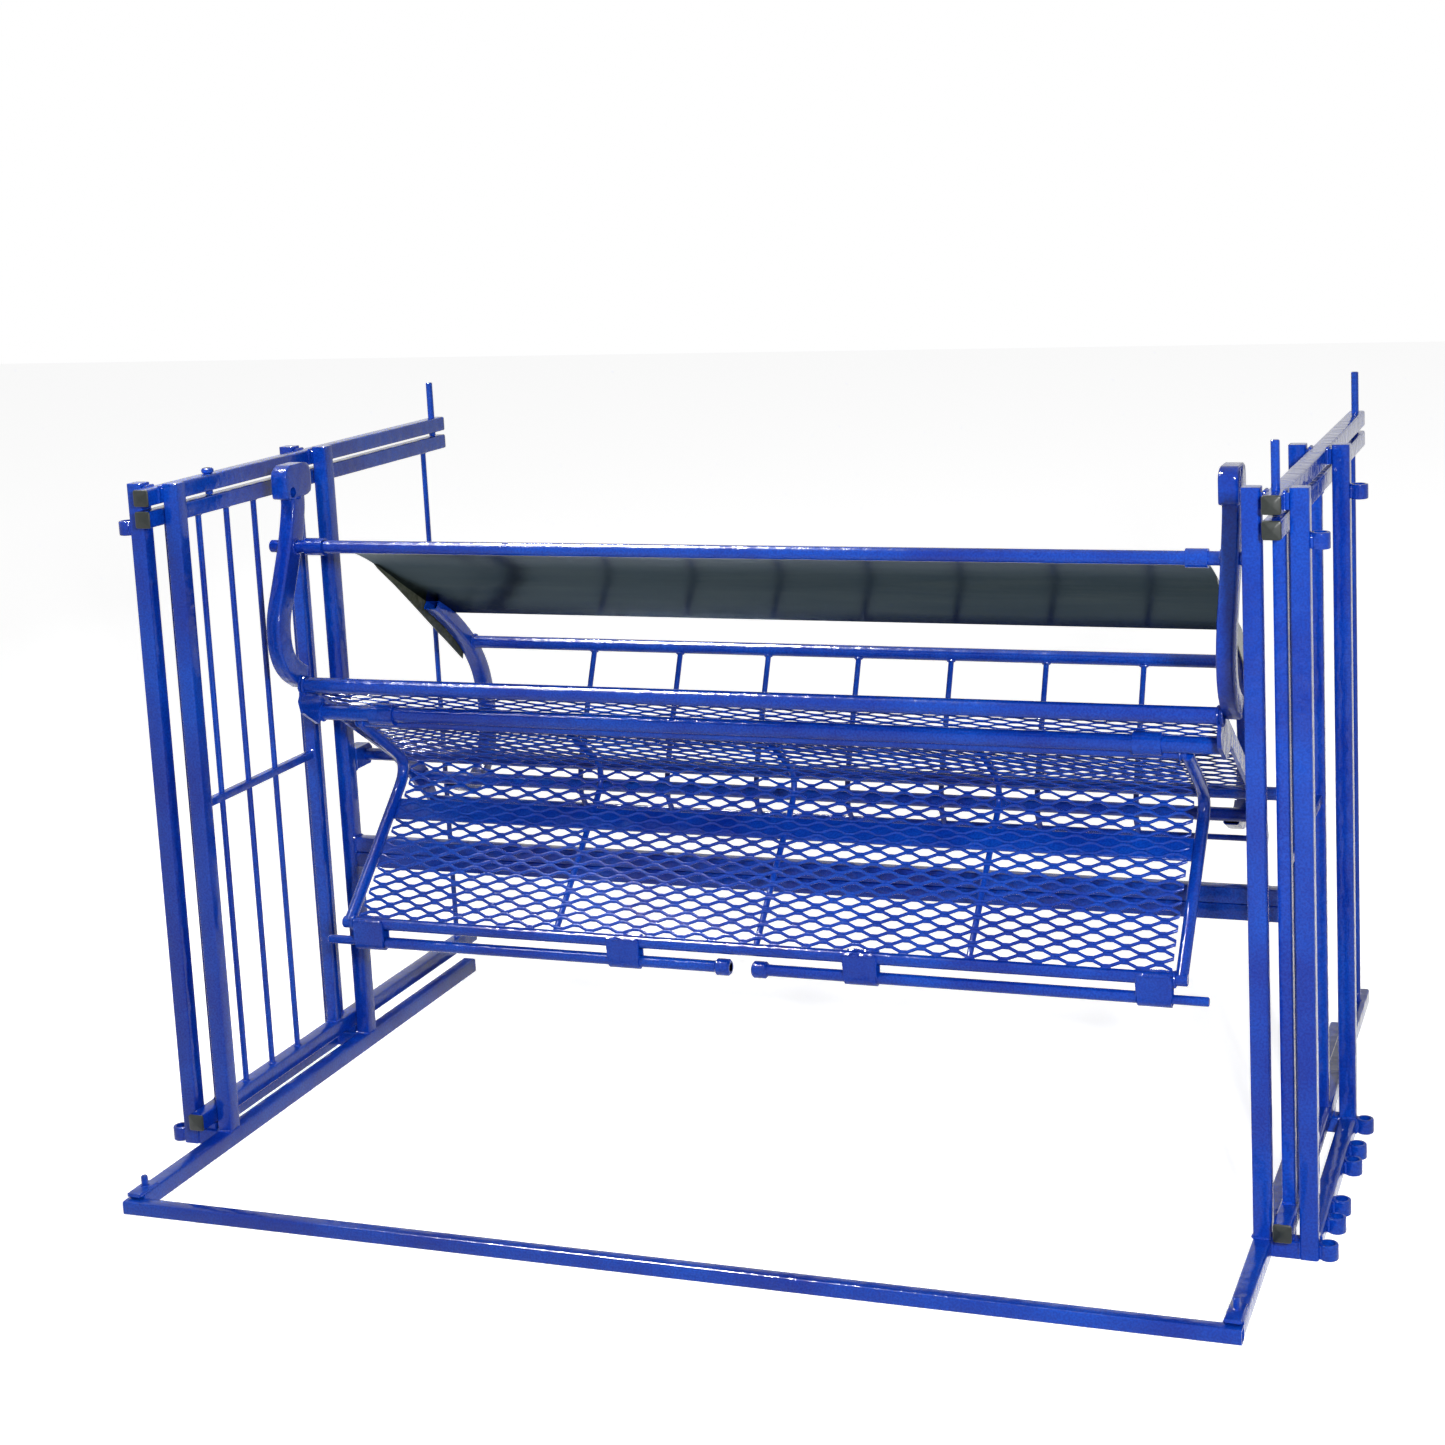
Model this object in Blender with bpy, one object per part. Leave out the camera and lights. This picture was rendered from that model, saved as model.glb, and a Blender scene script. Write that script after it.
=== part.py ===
# Sheep tilt table (turning crate), cradle turned on its side and its floor hanging open.
# Metres, +Z up, X along the crate, -Y is the operator's side, the base front bar at Y = 0.
# Every sub-part is one object with its own material.
import bpy
import bmesh
from math import cos, sin, pi, radians, atan2, hypot
from mathutils import Vector, Matrix

for old in list(bpy.data.objects):
    bpy.data.objects.remove(old, do_unlink=True)

# ---------------------------------------------------------------- sizes
GAP = 0.0003                # clearance between welded or seated pieces

BASE_LEN = 1.650            # front bar, end to end
BASE_DEPTH = 1.085          # front face to the rear end of the side rails
FRONT_BAR = 0.0205          # square tube of the front bar
TUBE = 0.0254               # square tube of side rails, posts and gates
WALL = 0.0021               # wall of the square tube
FRAME_H = 1.054             # top of the posts
POST_FRONT_Y = 0.253        # front face of the front posts
DOOR_W = 0.407              # clear doorway between front and rear posts
SLOT_W = 0.0374             # slot between inner and outer posts
TRACK_W = 0.0254            # fixed top rail, across the slot
TRACK_TOP = 1.0485          # top of the fixed rail
RAIL_FRONT_Y = 0.226        # front end of both top rails
RAIL_REAR_Y = 1.165         # rear end of both top rails
RAIL_GAP = 0.0075           # between the fixed rail and the gate's rail
GATE_W = 0.0254             # gate rails, across the slot
GATE_BAR = 0.0190           # gate stiles
GATE_ROD_R = 0.0047         # gate rods
GATE_LIFT = 0.0105          # gate's lower rail above the feet, on skids
SKID_W = 0.0240             # skids, across the slot
GATE_STILE_FRONT_Y = 0.3000 # front stile's middle
GATE_MID_Z = 0.536          # gate middle bar
GATE_MID_H = 0.0127
GATE_STILE_REAR_Y = 0.6475  # rear stile's middle
GATE_END_Y = 1.1010         # rod at the open half's end
GATE_RODS_Y = (0.3695, 0.4475, 0.5265)
GATE_TRAVEL = 0.430
REST_BEAM_TOP = 0.3777      # top of the upper of the two stacked beams
SLEEVE_R = 0.0132           # connector sleeves
SLEEVE_BORE = 0.0088
SLEEVE_H = 0.0220
SLEEVE_TOP_Z = 0.9735       # underside of the upper ones
SLEEVE_LOW_Z = 0.0010       # underside of the lower ones
SLEEVES_Y = (0.350, 0.408, 0.545, 0.603)
PIN_R = 0.0060              # drop pins of the gates
PIN_BORE = 0.0066           # holes in the fixed rail
PIN_GATE_BORE = 0.0090      # wider holes in the gate's rail, so that a pin finds them
PIN_FRONT_Y = 0.2657            # right gate's front pin, between the posts
PIN_STOP_Y = 0.4050             # left gate's front pin
PIN_REAR_Y = 1.1420
PIN_UP = 0.0665                 # how far a pin stands out of the fixed rail
PIN_DOWN = 0.0090               # the same for the short one

PIVOT_Y, PIVOT_Z = 0.7500, 0.5100   # cradle pivot shaft
PIVOT_R = 0.0105
PIVOT_BORE = 0.0107
LUG_T = 0.0245
ARM_X = 0.7495              # middle of the cradle's end arms
ARM_W = 0.0254
ARM_WALL = 0.0025
CAGE_X = 0.6830             # half length of floor panel and bows
FRONT_TUBE = (0.4740, 0.9220)   # tube the squeeze side hangs on (y, z)
FRONT_TUBE_R = 0.0105
LOW_TUBE = (0.4600, 0.7000)     # tube between the arms' lower ends
LOW_TUBE_R = 0.0127
HINGE_TUBE = (0.5050, 0.6450)   # tube the floor hangs on
HINGE_TUBE_R = 0.0127
REAR_TUBE = (0.8200, 0.4540)    # lower tube of the back grid
REAR_TUBE_R = 0.0110
TOP_TUBE = (0.9250, 0.6750)     # upper tube of the back grid
TOP_TUBE_R = 0.0110
STAY_R = 0.0048
STAY_DROP = 0.0600              # stay rod below the rear tube, along the rods
GRID_ROD_R = 0.0047
GRID_FIRST_X = -0.437
GRID_PITCH = 0.1613
GRID_RODS = 7
TUBE_WALL = 0.0021
BOW_W = 0.0254
BOW_X = 0.6830                  # middle of a bow
SHEET_T = 0.0016
SHEET_X = 0.6990
SHEET_END = (0.8640, 0.7400)    # lower edge of the squeeze sheet
BARREL_L = 0.0320
BARREL_R = 0.0140
RIB_T = 0.0060
MESH_T = 0.0013                 # plain sheet with the weight of the expanded metal

FLOOR_SIDE_R = 0.0095
FLOOR_TUBE_R = 0.0080
FLOOR_EDGE_R = 0.0095
FLOOR_START = (0.5190, 0.6275)
FLOOR_EDGE = (0.4410, 0.3160)
FLOOR_MID_UP = 0.2166           # middle of the flat bar, above the free edge
FLOOR_MID_W = 0.0380
FLOOR_MID_T = 0.0050
FLOOR_RIBS_X = (-0.315, 0.020, 0.355)
FLOOR_RIB_R = 0.0050
FLOOR_BARREL_R = 0.0172
FLOOR_BARREL_BORE = 0.0131
FLOOR_BARREL_L = 0.0420
FLOOR_BARREL_X = 0.6200
BOLT_R = 0.0070
BOLT_DROP = 0.0305              # bolt's middle below the free edge tube
BOLT_TIP_X = 0.7130
BOLT_KNOB_X = 0.0200
BOLT_KNOB_R = 0.0105
BOLT_KNOB_L = 0.0240
BOLT_TRAVEL = 0.0550
CLIP_X = (0.1920, 0.6350)
CLIP_W = 0.0500
CLIP_T = 0.0030
CLIP_GAP = 0.0004
FLOOR_CLOSE_DEG = 165.0
KEEPER_BORE = 0.0084
KEEPER_W = 0.0280

CORNER_PLATE_T = 0.0040
CORNER_PIN_R = 0.0050
CORNER_PIN_H = 0.0160

# places that follow from the sizes above
RAIL_IN_X = BASE_LEN / 2 - TUBE             # inner face of inner posts and side rails
RAIL_OUT_X = BASE_LEN / 2
OUTER_X = RAIL_OUT_X + SLOT_W               # inner face of the outer posts
SLOT_X = RAIL_OUT_X + SLOT_W / 2
POST_REAR_Y = POST_FRONT_Y + TUBE + DOOR_W  # front face of the rear posts
GATE_TOP_Z = TRACK_TOP - TUBE - RAIL_GAP    # top of the gate's top rail
ARM_IN = ARM_X - ARM_W / 2

BLUE = (0.030, 0.075, 0.52, 1.0)
GREY = (0.16, 0.17, 0.16, 1.0)
TWO_PI = 2 * pi


def material(name, colour, metallic, rough):
    m = bpy.data.materials.new(name)
    m.use_nodes = True
    s = m.node_tree.nodes["Principled BSDF"]
    s.inputs["Base Color"].default_value = colour
    s.inputs["Metallic"].default_value = metallic
    s.inputs["Roughness"].default_value = rough
    m.diffuse_color = colour
    return m


def new_object(name, verts, faces, colour=BLUE, metallic=0.0, rough=0.25):
    me = bpy.data.meshes.new(name)
    me.from_pydata([tuple(v) for v in verts], [], faces)
    bm = bmesh.new()
    bm.from_mesh(me)
    bmesh.ops.remove_doubles(bm, verts=bm.verts, dist=1e-6)
    bmesh.ops.recalc_face_normals(bm, faces=bm.faces)
    bm.to_mesh(me)
    bm.free()
    ob = bpy.data.objects.new(name, me)
    bpy.context.scene.collection.objects.link(ob)
    me.materials.append(material(name, colour, metallic, rough))
    return ob


def finish(ob):
    """Faces out, and the volume positive."""
    bm = bmesh.new()
    bm.from_mesh(ob.data)
    bmesh.ops.recalc_face_normals(bm, faces=bm.faces)
    if bm.calc_volume(signed=True) < 0:
        bmesh.ops.reverse_faces(bm, faces=bm.faces)
    bm.to_mesh(ob.data)
    bm.free()
    return ob


def box(name, x, y, z, **kw):
    (x0, x1), (y0, y1), (z0, z1) = sorted(x), sorted(y), sorted(z)
    v = [(a, b, c) for a in (x0, x1) for b in (y0, y1) for c in (z0, z1)]
    f = [(0, 1, 3, 2), (4, 6, 7, 5), (0, 4, 5, 1), (2, 3, 7, 6), (0, 2, 6, 4), (1, 5, 7, 3)]
    return finish(new_object(name, v, f, **kw))


def ring_frames(path):
    """Tangent and two normals for each point of a path, turned as little as possible."""
    pts = [Vector(p) for p in path]
    out = []
    ref = None
    for i, p in enumerate(pts):
        a = pts[max(i - 1, 0)]
        b = pts[min(i + 1, len(pts) - 1)]
        d_in = (p - a).normalized() if i else (b - p).normalized()
        d_out = (b - p).normalized() if i < len(pts) - 1 else d_in
        t = (d_in + d_out).normalized()
        if ref is None:
            ref = Vector((1, 0, 0)) if abs(t.x) < 0.9 else Vector((0, 0, 1))
        n = (ref - t * ref.dot(t)).normalized()
        b2 = t.cross(n)
        stretch = 1.0 / max(t.dot(d_in), 0.5)
        out.append((p, t, n, b2, stretch))
        ref = n
    return out


def sweep(name, path, profile, inner=None, **kw):
    """Profile points (u, v) carried along path; u lies along X when the path has no X part.
    With an inner profile the piece is a tube with open ends."""
    frames = ring_frames(path)
    n = len(profile)
    verts, faces = [], []

    def rings(prof):
        start = len(verts)
        for p, t, a, b, s in frames:
            for u, v in prof:
                verts.append(p + a * u + b * (v * s))
        return start

    o = rings(profile)
    for i in range(len(frames) - 1):
        for j in range(n):
            k = (j + 1) % n
            faces.append((o + i * n + j, o + i * n + k, o + (i + 1) * n + k, o + (i + 1) * n + j))
    last = (len(frames) - 1) * n
    if inner is None:
        faces.append(tuple(o + j for j in reversed(range(n))))
        faces.append(tuple(o + last + j for j in range(n)))
    else:
        q = rings(inner)
        for i in range(len(frames) - 1):
            for j in range(n):
                k = (j + 1) % n
                faces.append((q + i * n + k, q + i * n + j, q + (i + 1) * n + j, q + (i + 1) * n + k))
        for j in range(n):
            k = (j + 1) % n
            faces.append((o + k, o + j, q + j, q + k))
            faces.append((o + last + j, o + last + k, q + last + k, q + last + j))
    return finish(new_object(name, verts, faces, **kw))


def circle(r, n=12, phase=0.5):
    return [(r * cos(TWO_PI * (i + phase) / n), r * sin(TWO_PI * (i + phase) / n)) for i in range(n)]


def square(w, h=None):
    h = w if h is None else h
    return [(-w / 2, -h / 2), (w / 2, -h / 2), (w / 2, h / 2), (-w / 2, h / 2)]


def rod(name, a, b, r, n=12, bore=None, **kw):
    inner = circle(bore, n) if bore else None
    return sweep(name, [a, b], circle(r, n), inner, **kw)


def square_tube(name, a, b, w=TUBE, h=None, wall=WALL, lid=0.0, **kw):
    """Square tube from a to b. lid closes it at b with that thickness."""
    h = w if h is None else h
    a, b = Vector(a), Vector(b)
    if not lid:
        return sweep(name, [a, b], square(w, h), square(w - 2 * wall, h - 2 * wall), **kw)
    frames = ring_frames([a, b])
    d = (b - a).normalized()
    verts, faces = [], []
    for centre, prof in ((a, square(w, h)), (b, square(w, h)),
                         (a, square(w - 2 * wall, h - 2 * wall)),
                         (b - d * lid, square(w - 2 * wall, h - 2 * wall))):
        for u, v in prof:
            verts.append(centre + frames[0][2] * u + frames[0][3] * v)
    for j in range(4):
        k = (j + 1) % 4
        faces.append((j, k, 4 + k, 4 + j))
        faces.append((8 + k, 8 + j, 12 + j, 12 + k))
        faces.append((k, j, 8 + j, 8 + k))
    faces.append((4, 5, 6, 7))
    faces.append((15, 14, 13, 12))
    return finish(new_object(name, verts, faces, **kw))


def plate(name, outline, x0, x1, **kw):
    """Flat plate: outline in (y, z), from x0 to x1."""
    n = len(outline)
    v = [(x0, y, z) for y, z in outline] + [(x1, y, z) for y, z in outline]
    f = [tuple(range(n)), tuple(reversed(range(n, 2 * n)))]
    f += [(i, i + n, (i + 1) % n + n, (i + 1) % n) for i in range(n)]
    return finish(new_object(name, v, f, **kw))


def band(name, path, t, x0, x1, **kw):
    """Bent sheet: a (y, z) line given the thickness t, from x0 to x1."""
    left, right = [], []
    for i, (y, z) in enumerate(path):
        a = path[max(i - 1, 0)]
        b = path[min(i + 1, len(path) - 1)]
        d = Vector((b[0] - a[0], b[1] - a[1])).normalized()
        e = Vector((y - a[0], z - a[1])).normalized() if i else d
        s = t / 2 / max(d.dot(e), 0.5)
        left.append((y - d.y * s, z + d.x * s))
        right.append((y + d.y * s, z - d.x * s))
    return plate(name, left + right[::-1], x0, x1, **kw)


def offset_path(path, off):
    out = []
    for i, (y, z) in enumerate(path):
        a = path[max(i - 1, 0)]
        b = path[min(i + 1, len(path) - 1)]
        d = Vector((b[0] - a[0], b[1] - a[1])).normalized()
        out.append((y - d.y * off, z + d.x * off))
    return out


def combine(ob, others, operation):
    """Apply a Boolean to ob with each of the others in turn, and drop them."""
    for other in others:
        mod = ob.modifiers.new("b", "BOOLEAN")
        mod.operation = operation
        mod.solver = "EXACT"
        mod.object = other
        dg = bpy.context.evaluated_depsgraph_get()
        dg.update()
        me = bpy.data.meshes.new_from_object(ob.evaluated_get(dg), depsgraph=dg)
        ob.modifiers.clear()
        mats = [m for m in ob.data.materials]
        ob.data = me
        me.materials.clear()
        for m in mats[:1]:
            me.materials.append(m)
        for p in me.polygons:
            p.material_index = 0
        bpy.data.objects.remove(other, do_unlink=True)
    bm = bmesh.new()
    bm.from_mesh(ob.data)
    bmesh.ops.remove_doubles(bm, verts=bm.verts, dist=2e-6)
    bmesh.ops.dissolve_limit(bm, angle_limit=radians(0.05), verts=bm.verts, edges=bm.edges)
    bm.to_mesh(ob.data)
    bm.free()
    return finish(ob)


def join(ob, others):
    return combine(ob, others, "UNION")


def cut(ob, others):
    return combine(ob, others, "DIFFERENCE")


SIDES = (("left", -1.0), ("right", 1.0))

# ---------------------------------------------------------------- base
half = TUBE / 2
fb = FRONT_BAR / 2
square_tube("base_front_bar", (-BASE_LEN / 2, fb, fb), (BASE_LEN / 2, fb, fb), w=FRONT_BAR)
for side, s in SIDES:
    cx = s * (RAIL_OUT_X - half)
    square_tube("base_rail_" + side, (cx, FRONT_BAR + GAP, half), (cx, BASE_DEPTH, half))
    corner = box("corner_pin_" + side, (cx - 0.011, cx + 0.011), (0.010, 0.058),
                 (TUBE + GAP, TUBE + GAP + CORNER_PLATE_T))
    z0 = TUBE + GAP + CORNER_PLATE_T
    join(corner, [rod("c", (cx, 0.040, z0 - 0.001), (cx, 0.040, z0 + CORNER_PIN_H), CORNER_PIN_R, 10)])

# ---------------------------------------------------------------- end frames
for side, s in SIDES:
    for place, y0 in (("front", POST_FRONT_Y), ("rear", POST_REAR_Y)):
        cy = y0 + half
        square_tube("post_%s_%s_inner" % (place, side), (s * (RAIL_OUT_X - half), cy, TUBE + GAP),
                    (s * (RAIL_OUT_X - half), cy, FRAME_H), lid=0.003)
        # outer post, with a connector sleeve near its top and one at its foot
        ox = s * (OUTER_X + half)
        post = square_tube("post_%s_%s_outer" % (place, side), (ox, cy, 0), (ox, cy, FRAME_H), lid=0.003)
        sx = s * (OUTER_X + TUBE + SLEEVE_R - 0.0006)
        join(post, [rod("t", (sx, cy, SLEEVE_TOP_Z), (sx, cy, SLEEVE_TOP_Z + SLEEVE_H), SLEEVE_R, 14, SLEEVE_BORE),
                    rod("f", (sx, cy, SLEEVE_LOW_Z), (sx, cy, SLEEVE_LOW_Z + SLEEVE_H), SLEEVE_R, 14, SLEEVE_BORE)])
        foot = square_tube("foot_%s_%s" % (place, side), (s * (RAIL_OUT_X + GAP), cy, half),
                           (s * (OUTER_X - GAP), cy, half))
        # skid that carries the gate's lower rail
        join(foot, [box("k", (s * SLOT_X - SKID_W / 2, s * SLOT_X + SKID_W / 2), (y0 + 0.004, y0 + TUBE - 0.004),
                        (TUBE - 0.001, TUBE + GATE_LIFT - GAP))])
    # outer bottom rail, with two pairs of connector sleeves
    ox = s * (OUTER_X + half)
    rail = square_tube("outer_rail_" + side, (ox, POST_FRONT_Y + TUBE + GAP, half),
                       (ox, POST_REAR_Y - GAP, half))
    sx = s * (OUTER_X + TUBE + SLEEVE_R - 0.0006)
    sleeves = []
    for y in SLEEVES_Y:
        sleeves.append(rod("s", (sx, y, SLEEVE_LOW_Z), (sx, y, SLEEVE_LOW_Z + SLEEVE_H), SLEEVE_R, 14, SLEEVE_BORE))
    join(rail, sleeves)
    # fixed top rail across the slot, drilled for the two drop pins
    cz = TRACK_TOP - half
    rail = square_tube("top_rail_" + side, (s * SLOT_X, RAIL_FRONT_Y, cz), (s * SLOT_X, RAIL_REAR_Y, cz),
                       w=TRACK_W, h=TUBE)
    # packing plates between the rail and the posts on both sides of it
    packing = []
    for y0 in (POST_FRONT_Y, POST_REAR_Y):
        for t in (-1, 1):
            packing.append(box("k", (s * SLOT_X + t * (TRACK_W / 2 - 0.0005), s * SLOT_X + t * (SLOT_W / 2 - GAP)),
                               (y0 + 0.002, y0 + TUBE - 0.002), (cz - half + 0.002, cz + half - 0.001)))
    join(rail, packing)
    front_pin_y = PIN_STOP_Y if side == "left" else PIN_FRONT_Y
    cut(rail, [rod("p", (s * SLOT_X, y, cz - TUBE), (s * SLOT_X, y, cz + TUBE), PIN_BORE, 12)
               for y in (front_pin_y, PIN_REAR_Y)])

# the two stacked beams between the rear posts
for name, top in (("rest_beam_upper", REST_BEAM_TOP), ("rest_beam_lower", REST_BEAM_TOP - TUBE - GAP)):
    square_tube(name, (-RAIL_IN_X + GAP, POST_REAR_Y + half, top - half),
                (RAIL_IN_X - GAP, POST_REAR_Y + half, top - half))

# bearing lugs for the pivot shaft, on the rear posts' back faces
for side, s in SIDES:
    y0 = POST_REAR_Y + TUBE + GAP
    lug = plate("pivot_lug_" + side, [(y0, PIVOT_Z - 0.018), (PIVOT_Y + 0.009, PIVOT_Z - 0.018),
                                      (PIVOT_Y + 0.018, PIVOT_Z - 0.009), (PIVOT_Y + 0.018, PIVOT_Z + 0.009),
                                      (PIVOT_Y + 0.009, PIVOT_Z + 0.018), (y0, PIVOT_Z + 0.018)],
                s * (RAIL_OUT_X - LUG_T), s * RAIL_OUT_X)
    cut(lug, [rod("h", (s * (RAIL_IN_X - 0.02), PIVOT_Y, PIVOT_Z), (s * (RAIL_OUT_X + 0.02), PIVOT_Y, PIVOT_Z),
                  PIVOT_BORE, 24)])

# ---------------------------------------------------------------- sliding gates
for side, s in SIDES:
    gx = s * SLOT_X
    cz = GATE_TOP_Z - half
    rail = square_tube("gate_top_" + side, (gx, RAIL_FRONT_Y, cz), (gx, RAIL_REAR_Y, cz), w=GATE_W, h=TUBE)
    front_pin_y = PIN_STOP_Y if side == "left" else PIN_FRONT_Y
    holes = [front_pin_y, front_pin_y + GATE_TRAVEL, PIN_REAR_Y]
    cut(rail, [rod("p", (gx, y, cz - TUBE), (gx, y, cz + TUBE), PIN_GATE_BORE, 12) for y in holes])
    low = TUBE + GATE_LIFT + half
    square_tube("gate_bottom_" + side, (gx, RAIL_FRONT_Y, low), (gx, RAIL_REAR_Y - 0.010, low),
                w=GATE_W, h=TUBE)
    z0, z1 = TUBE + GATE_LIFT + TUBE + GAP, GATE_TOP_Z - TUBE - GAP
    stile_y = GATE_STILE_FRONT_Y
    grille = box("gate_grille_" + side, (gx - GATE_BAR / 2, gx + GATE_BAR / 2),
                 (stile_y - GATE_BAR / 2, stile_y + GATE_BAR / 2), (z0, z1))
    parts = [box("s", (gx - GATE_BAR / 2, gx + GATE_BAR / 2),
                 (GATE_STILE_REAR_Y - GATE_BAR / 2, GATE_STILE_REAR_Y + GATE_BAR / 2), (z0, z1)),
             box("m", (gx - GATE_MID_H / 2, gx + GATE_MID_H / 2), (stile_y, GATE_STILE_REAR_Y),
                 (GATE_MID_Z - GATE_MID_H / 2, GATE_MID_Z + GATE_MID_H / 2))]
    parts += [rod("r", (gx, y, z0), (gx, y, z1), GATE_ROD_R, 8) for y in GATE_RODS_Y]
    join(grille, parts)
    rod("gate_end_rod_" + side, (gx, GATE_END_Y, z0), (gx, GATE_END_Y, z1), GATE_ROD_R, 8)
    # drop pins; both ends of each reach from above the fixed rail to just over the gate's rail
    foot_z = GATE_TOP_Z + GAP
    for place, y in (("front", front_pin_y), ("rear", PIN_REAR_Y)):
        up = PIN_DOWN if (side == "left" and place == "front") else PIN_UP
        pin = rod("pin_%s_%s" % (place, side), (gx, y, foot_z), (gx, y, TRACK_TOP + up), PIN_R, 12)
        if up == PIN_DOWN:
            join(pin, [rod("k", (gx, y, TRACK_TOP + GAP), (gx, y, TRACK_TOP + up), PIN_R + 0.004, 12)])

# ---------------------------------------------------------------- cradle
arm_path = [(0.4880, 0.9980), (0.4880, 0.9860), (0.4820, 0.9620), (0.4690, 0.9230), (0.4380, 0.8550),
            (0.4230, 0.8250), (0.4175, 0.8020), (0.4170, 0.7820), (0.4190, 0.7620), (0.4265, 0.7430),
            (0.4380, 0.7285), (0.4520, 0.7170), (0.4720, 0.7050)]
for side, s in SIDES:
    sweep("arm_" + side, [(s * ARM_X, y, z) for y, z in arm_path], square(ARM_W),
          square(ARM_W - 2 * ARM_WALL))
    # keeper block on the arm's end; its hole takes the floor bolt when the floor is shut
    block = plate("keeper_" + side, [(0.4560, 1.0010), (0.4600, 0.9985), (0.5250, 0.9985), (0.5330, 1.0060),
                                     (0.5330, 1.0440), (0.5220, 1.0520), (0.4690, 1.0520), (0.4560, 1.0420)],
                  s * (ARM_X - KEEPER_W / 2), s * (ARM_X + KEEPER_W / 2))
    a = radians(-FLOOR_CLOSE_DEG)
    by, bz = FLOOR_EDGE[0] - HINGE_TUBE[0], FLOOR_EDGE[1] - BOLT_DROP - HINGE_TUBE[1]
    ky = HINGE_TUBE[0] + by * cos(a) - bz * sin(a)
    kz = HINGE_TUBE[1] + by * sin(a) + bz * cos(a)
    cut(block, [rod("h", (s * (ARM_X - 0.04), ky, kz), (s * (ARM_X + 0.04), ky, kz), KEEPER_BORE, 16)])
    y, z = FRONT_TUBE
    rod("arm_stub_" + side, (s * (ARM_X + ARM_W / 2 + GAP), y, z), (s * (ARM_X + ARM_W / 2 + 0.0200), y, z),
        FRONT_TUBE_R, 12)

inner = ARM_IN - GAP
rod("front_tube", (-inner, *FRONT_TUBE), (inner, *FRONT_TUBE), FRONT_TUBE_R, 16, FRONT_TUBE_R - TUBE_WALL)
rod("low_tube", (-inner, *LOW_TUBE), (inner, *LOW_TUBE), LOW_TUBE_R, 16, LOW_TUBE_R - TUBE_WALL)
rib_in = inner - RIB_T - GAP
rod("hinge_tube", (-rib_in, *HINGE_TUBE), (rib_in, *HINGE_TUBE), HINGE_TUBE_R, 24, HINGE_TUBE_R - TUBE_WALL)
rod("pivot_shaft", (-RAIL_OUT_X + 0.001, PIVOT_Y, PIVOT_Z), (RAIL_OUT_X - 0.001, PIVOT_Y, PIVOT_Z),
    PIVOT_R, 24, PIVOT_R - TUBE_WALL)

# direction of the table wall, from the low tube to the pivot shaft
wall_dir = Vector((PIVOT_Y - LOW_TUBE[0], PIVOT_Z - LOW_TUBE[1])).normalized()
wall_nor = Vector((-wall_dir.y, wall_dir.x))


def on_wall(along, off):
    return (LOW_TUBE[0] + wall_dir.x * along + wall_nor.x * off, LOW_TUBE[1] + wall_dir.y * along + wall_nor.y * off)


reach = hypot(PIVOT_Y - LOW_TUBE[0], PIVOT_Z - LOW_TUBE[1])
grid_dir = Vector((REAR_TUBE[0] - TOP_TUBE[0], REAR_TUBE[1] - TOP_TUBE[1])).normalized()
STAY = (REAR_TUBE[0] + 0.028, REAR_TUBE[1] - 0.046)
for side, s in SIDES:
    outline = [on_wall(-0.004, 0.0135), on_wall(-0.004, -0.0300), on_wall(0.012, -0.0440), on_wall(0.062, -0.0440),
               on_wall(0.085, -0.0130), on_wall(reach - 0.030, -0.0130), on_wall(reach, -0.0180),
               (STAY[0] - 0.010, STAY[1] - 0.004), (STAY[0] + 0.004, STAY[1] - 0.010),
               (STAY[0] + 0.012, STAY[1] + 0.004), (REAR_TUBE[0] + 0.014, REAR_TUBE[1] + 0.010),
               on_wall(reach + 0.030, 0.0170), on_wall(reach, 0.0180), on_wall(reach - 0.030, 0.0130),
               on_wall(0.030, 0.0130)]
    rib = plate("end_rib_" + side, outline, s * (inner - RIB_T), s * inner)
    cut(rib, [rod("h", (s * (inner - 0.03), PIVOT_Y, PIVOT_Z), (s * (inner + 0.03), PIVOT_Y, PIVOT_Z),
                  PIVOT_R + GAP, 24),
              rod("l", (s * (inner - 0.03), *LOW_TUBE), (s * (inner + 0.03), *LOW_TUBE),
                  LOW_TUBE_R + 2 * GAP, 24)])
band("table_mesh", [on_wall(LOW_TUBE_R + 2 * GAP, 0), on_wall(reach - PIVOT_R - GAP, 0)], MESH_T, -rib_in, rib_in)

# back grid: top tube, rods, lower tube and stay rod, welded as one
bow_in = BOW_X - BOW_W / 2 - GAP
grid = rod("back_grid", (-rib_in, *REAR_TUBE), (rib_in, *REAR_TUBE), REAR_TUBE_R, 12)
stay = rod("st", (-rib_in, *STAY), (rib_in, *STAY), STAY_R, 8)
top = rod("tt", (-bow_in, *TOP_TUBE), (bow_in, *TOP_TUBE), TOP_TUBE_R, 12)
rods = []
for i in range(GRID_RODS):
    x = GRID_FIRST_X + GRID_PITCH * i
    rods.append(sweep("gr", [(x, *TOP_TUBE), (x, *REAR_TUBE), (x, *STAY)], circle(GRID_ROD_R, 8)))
join(grid, [top] + rods + [stay])

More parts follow.
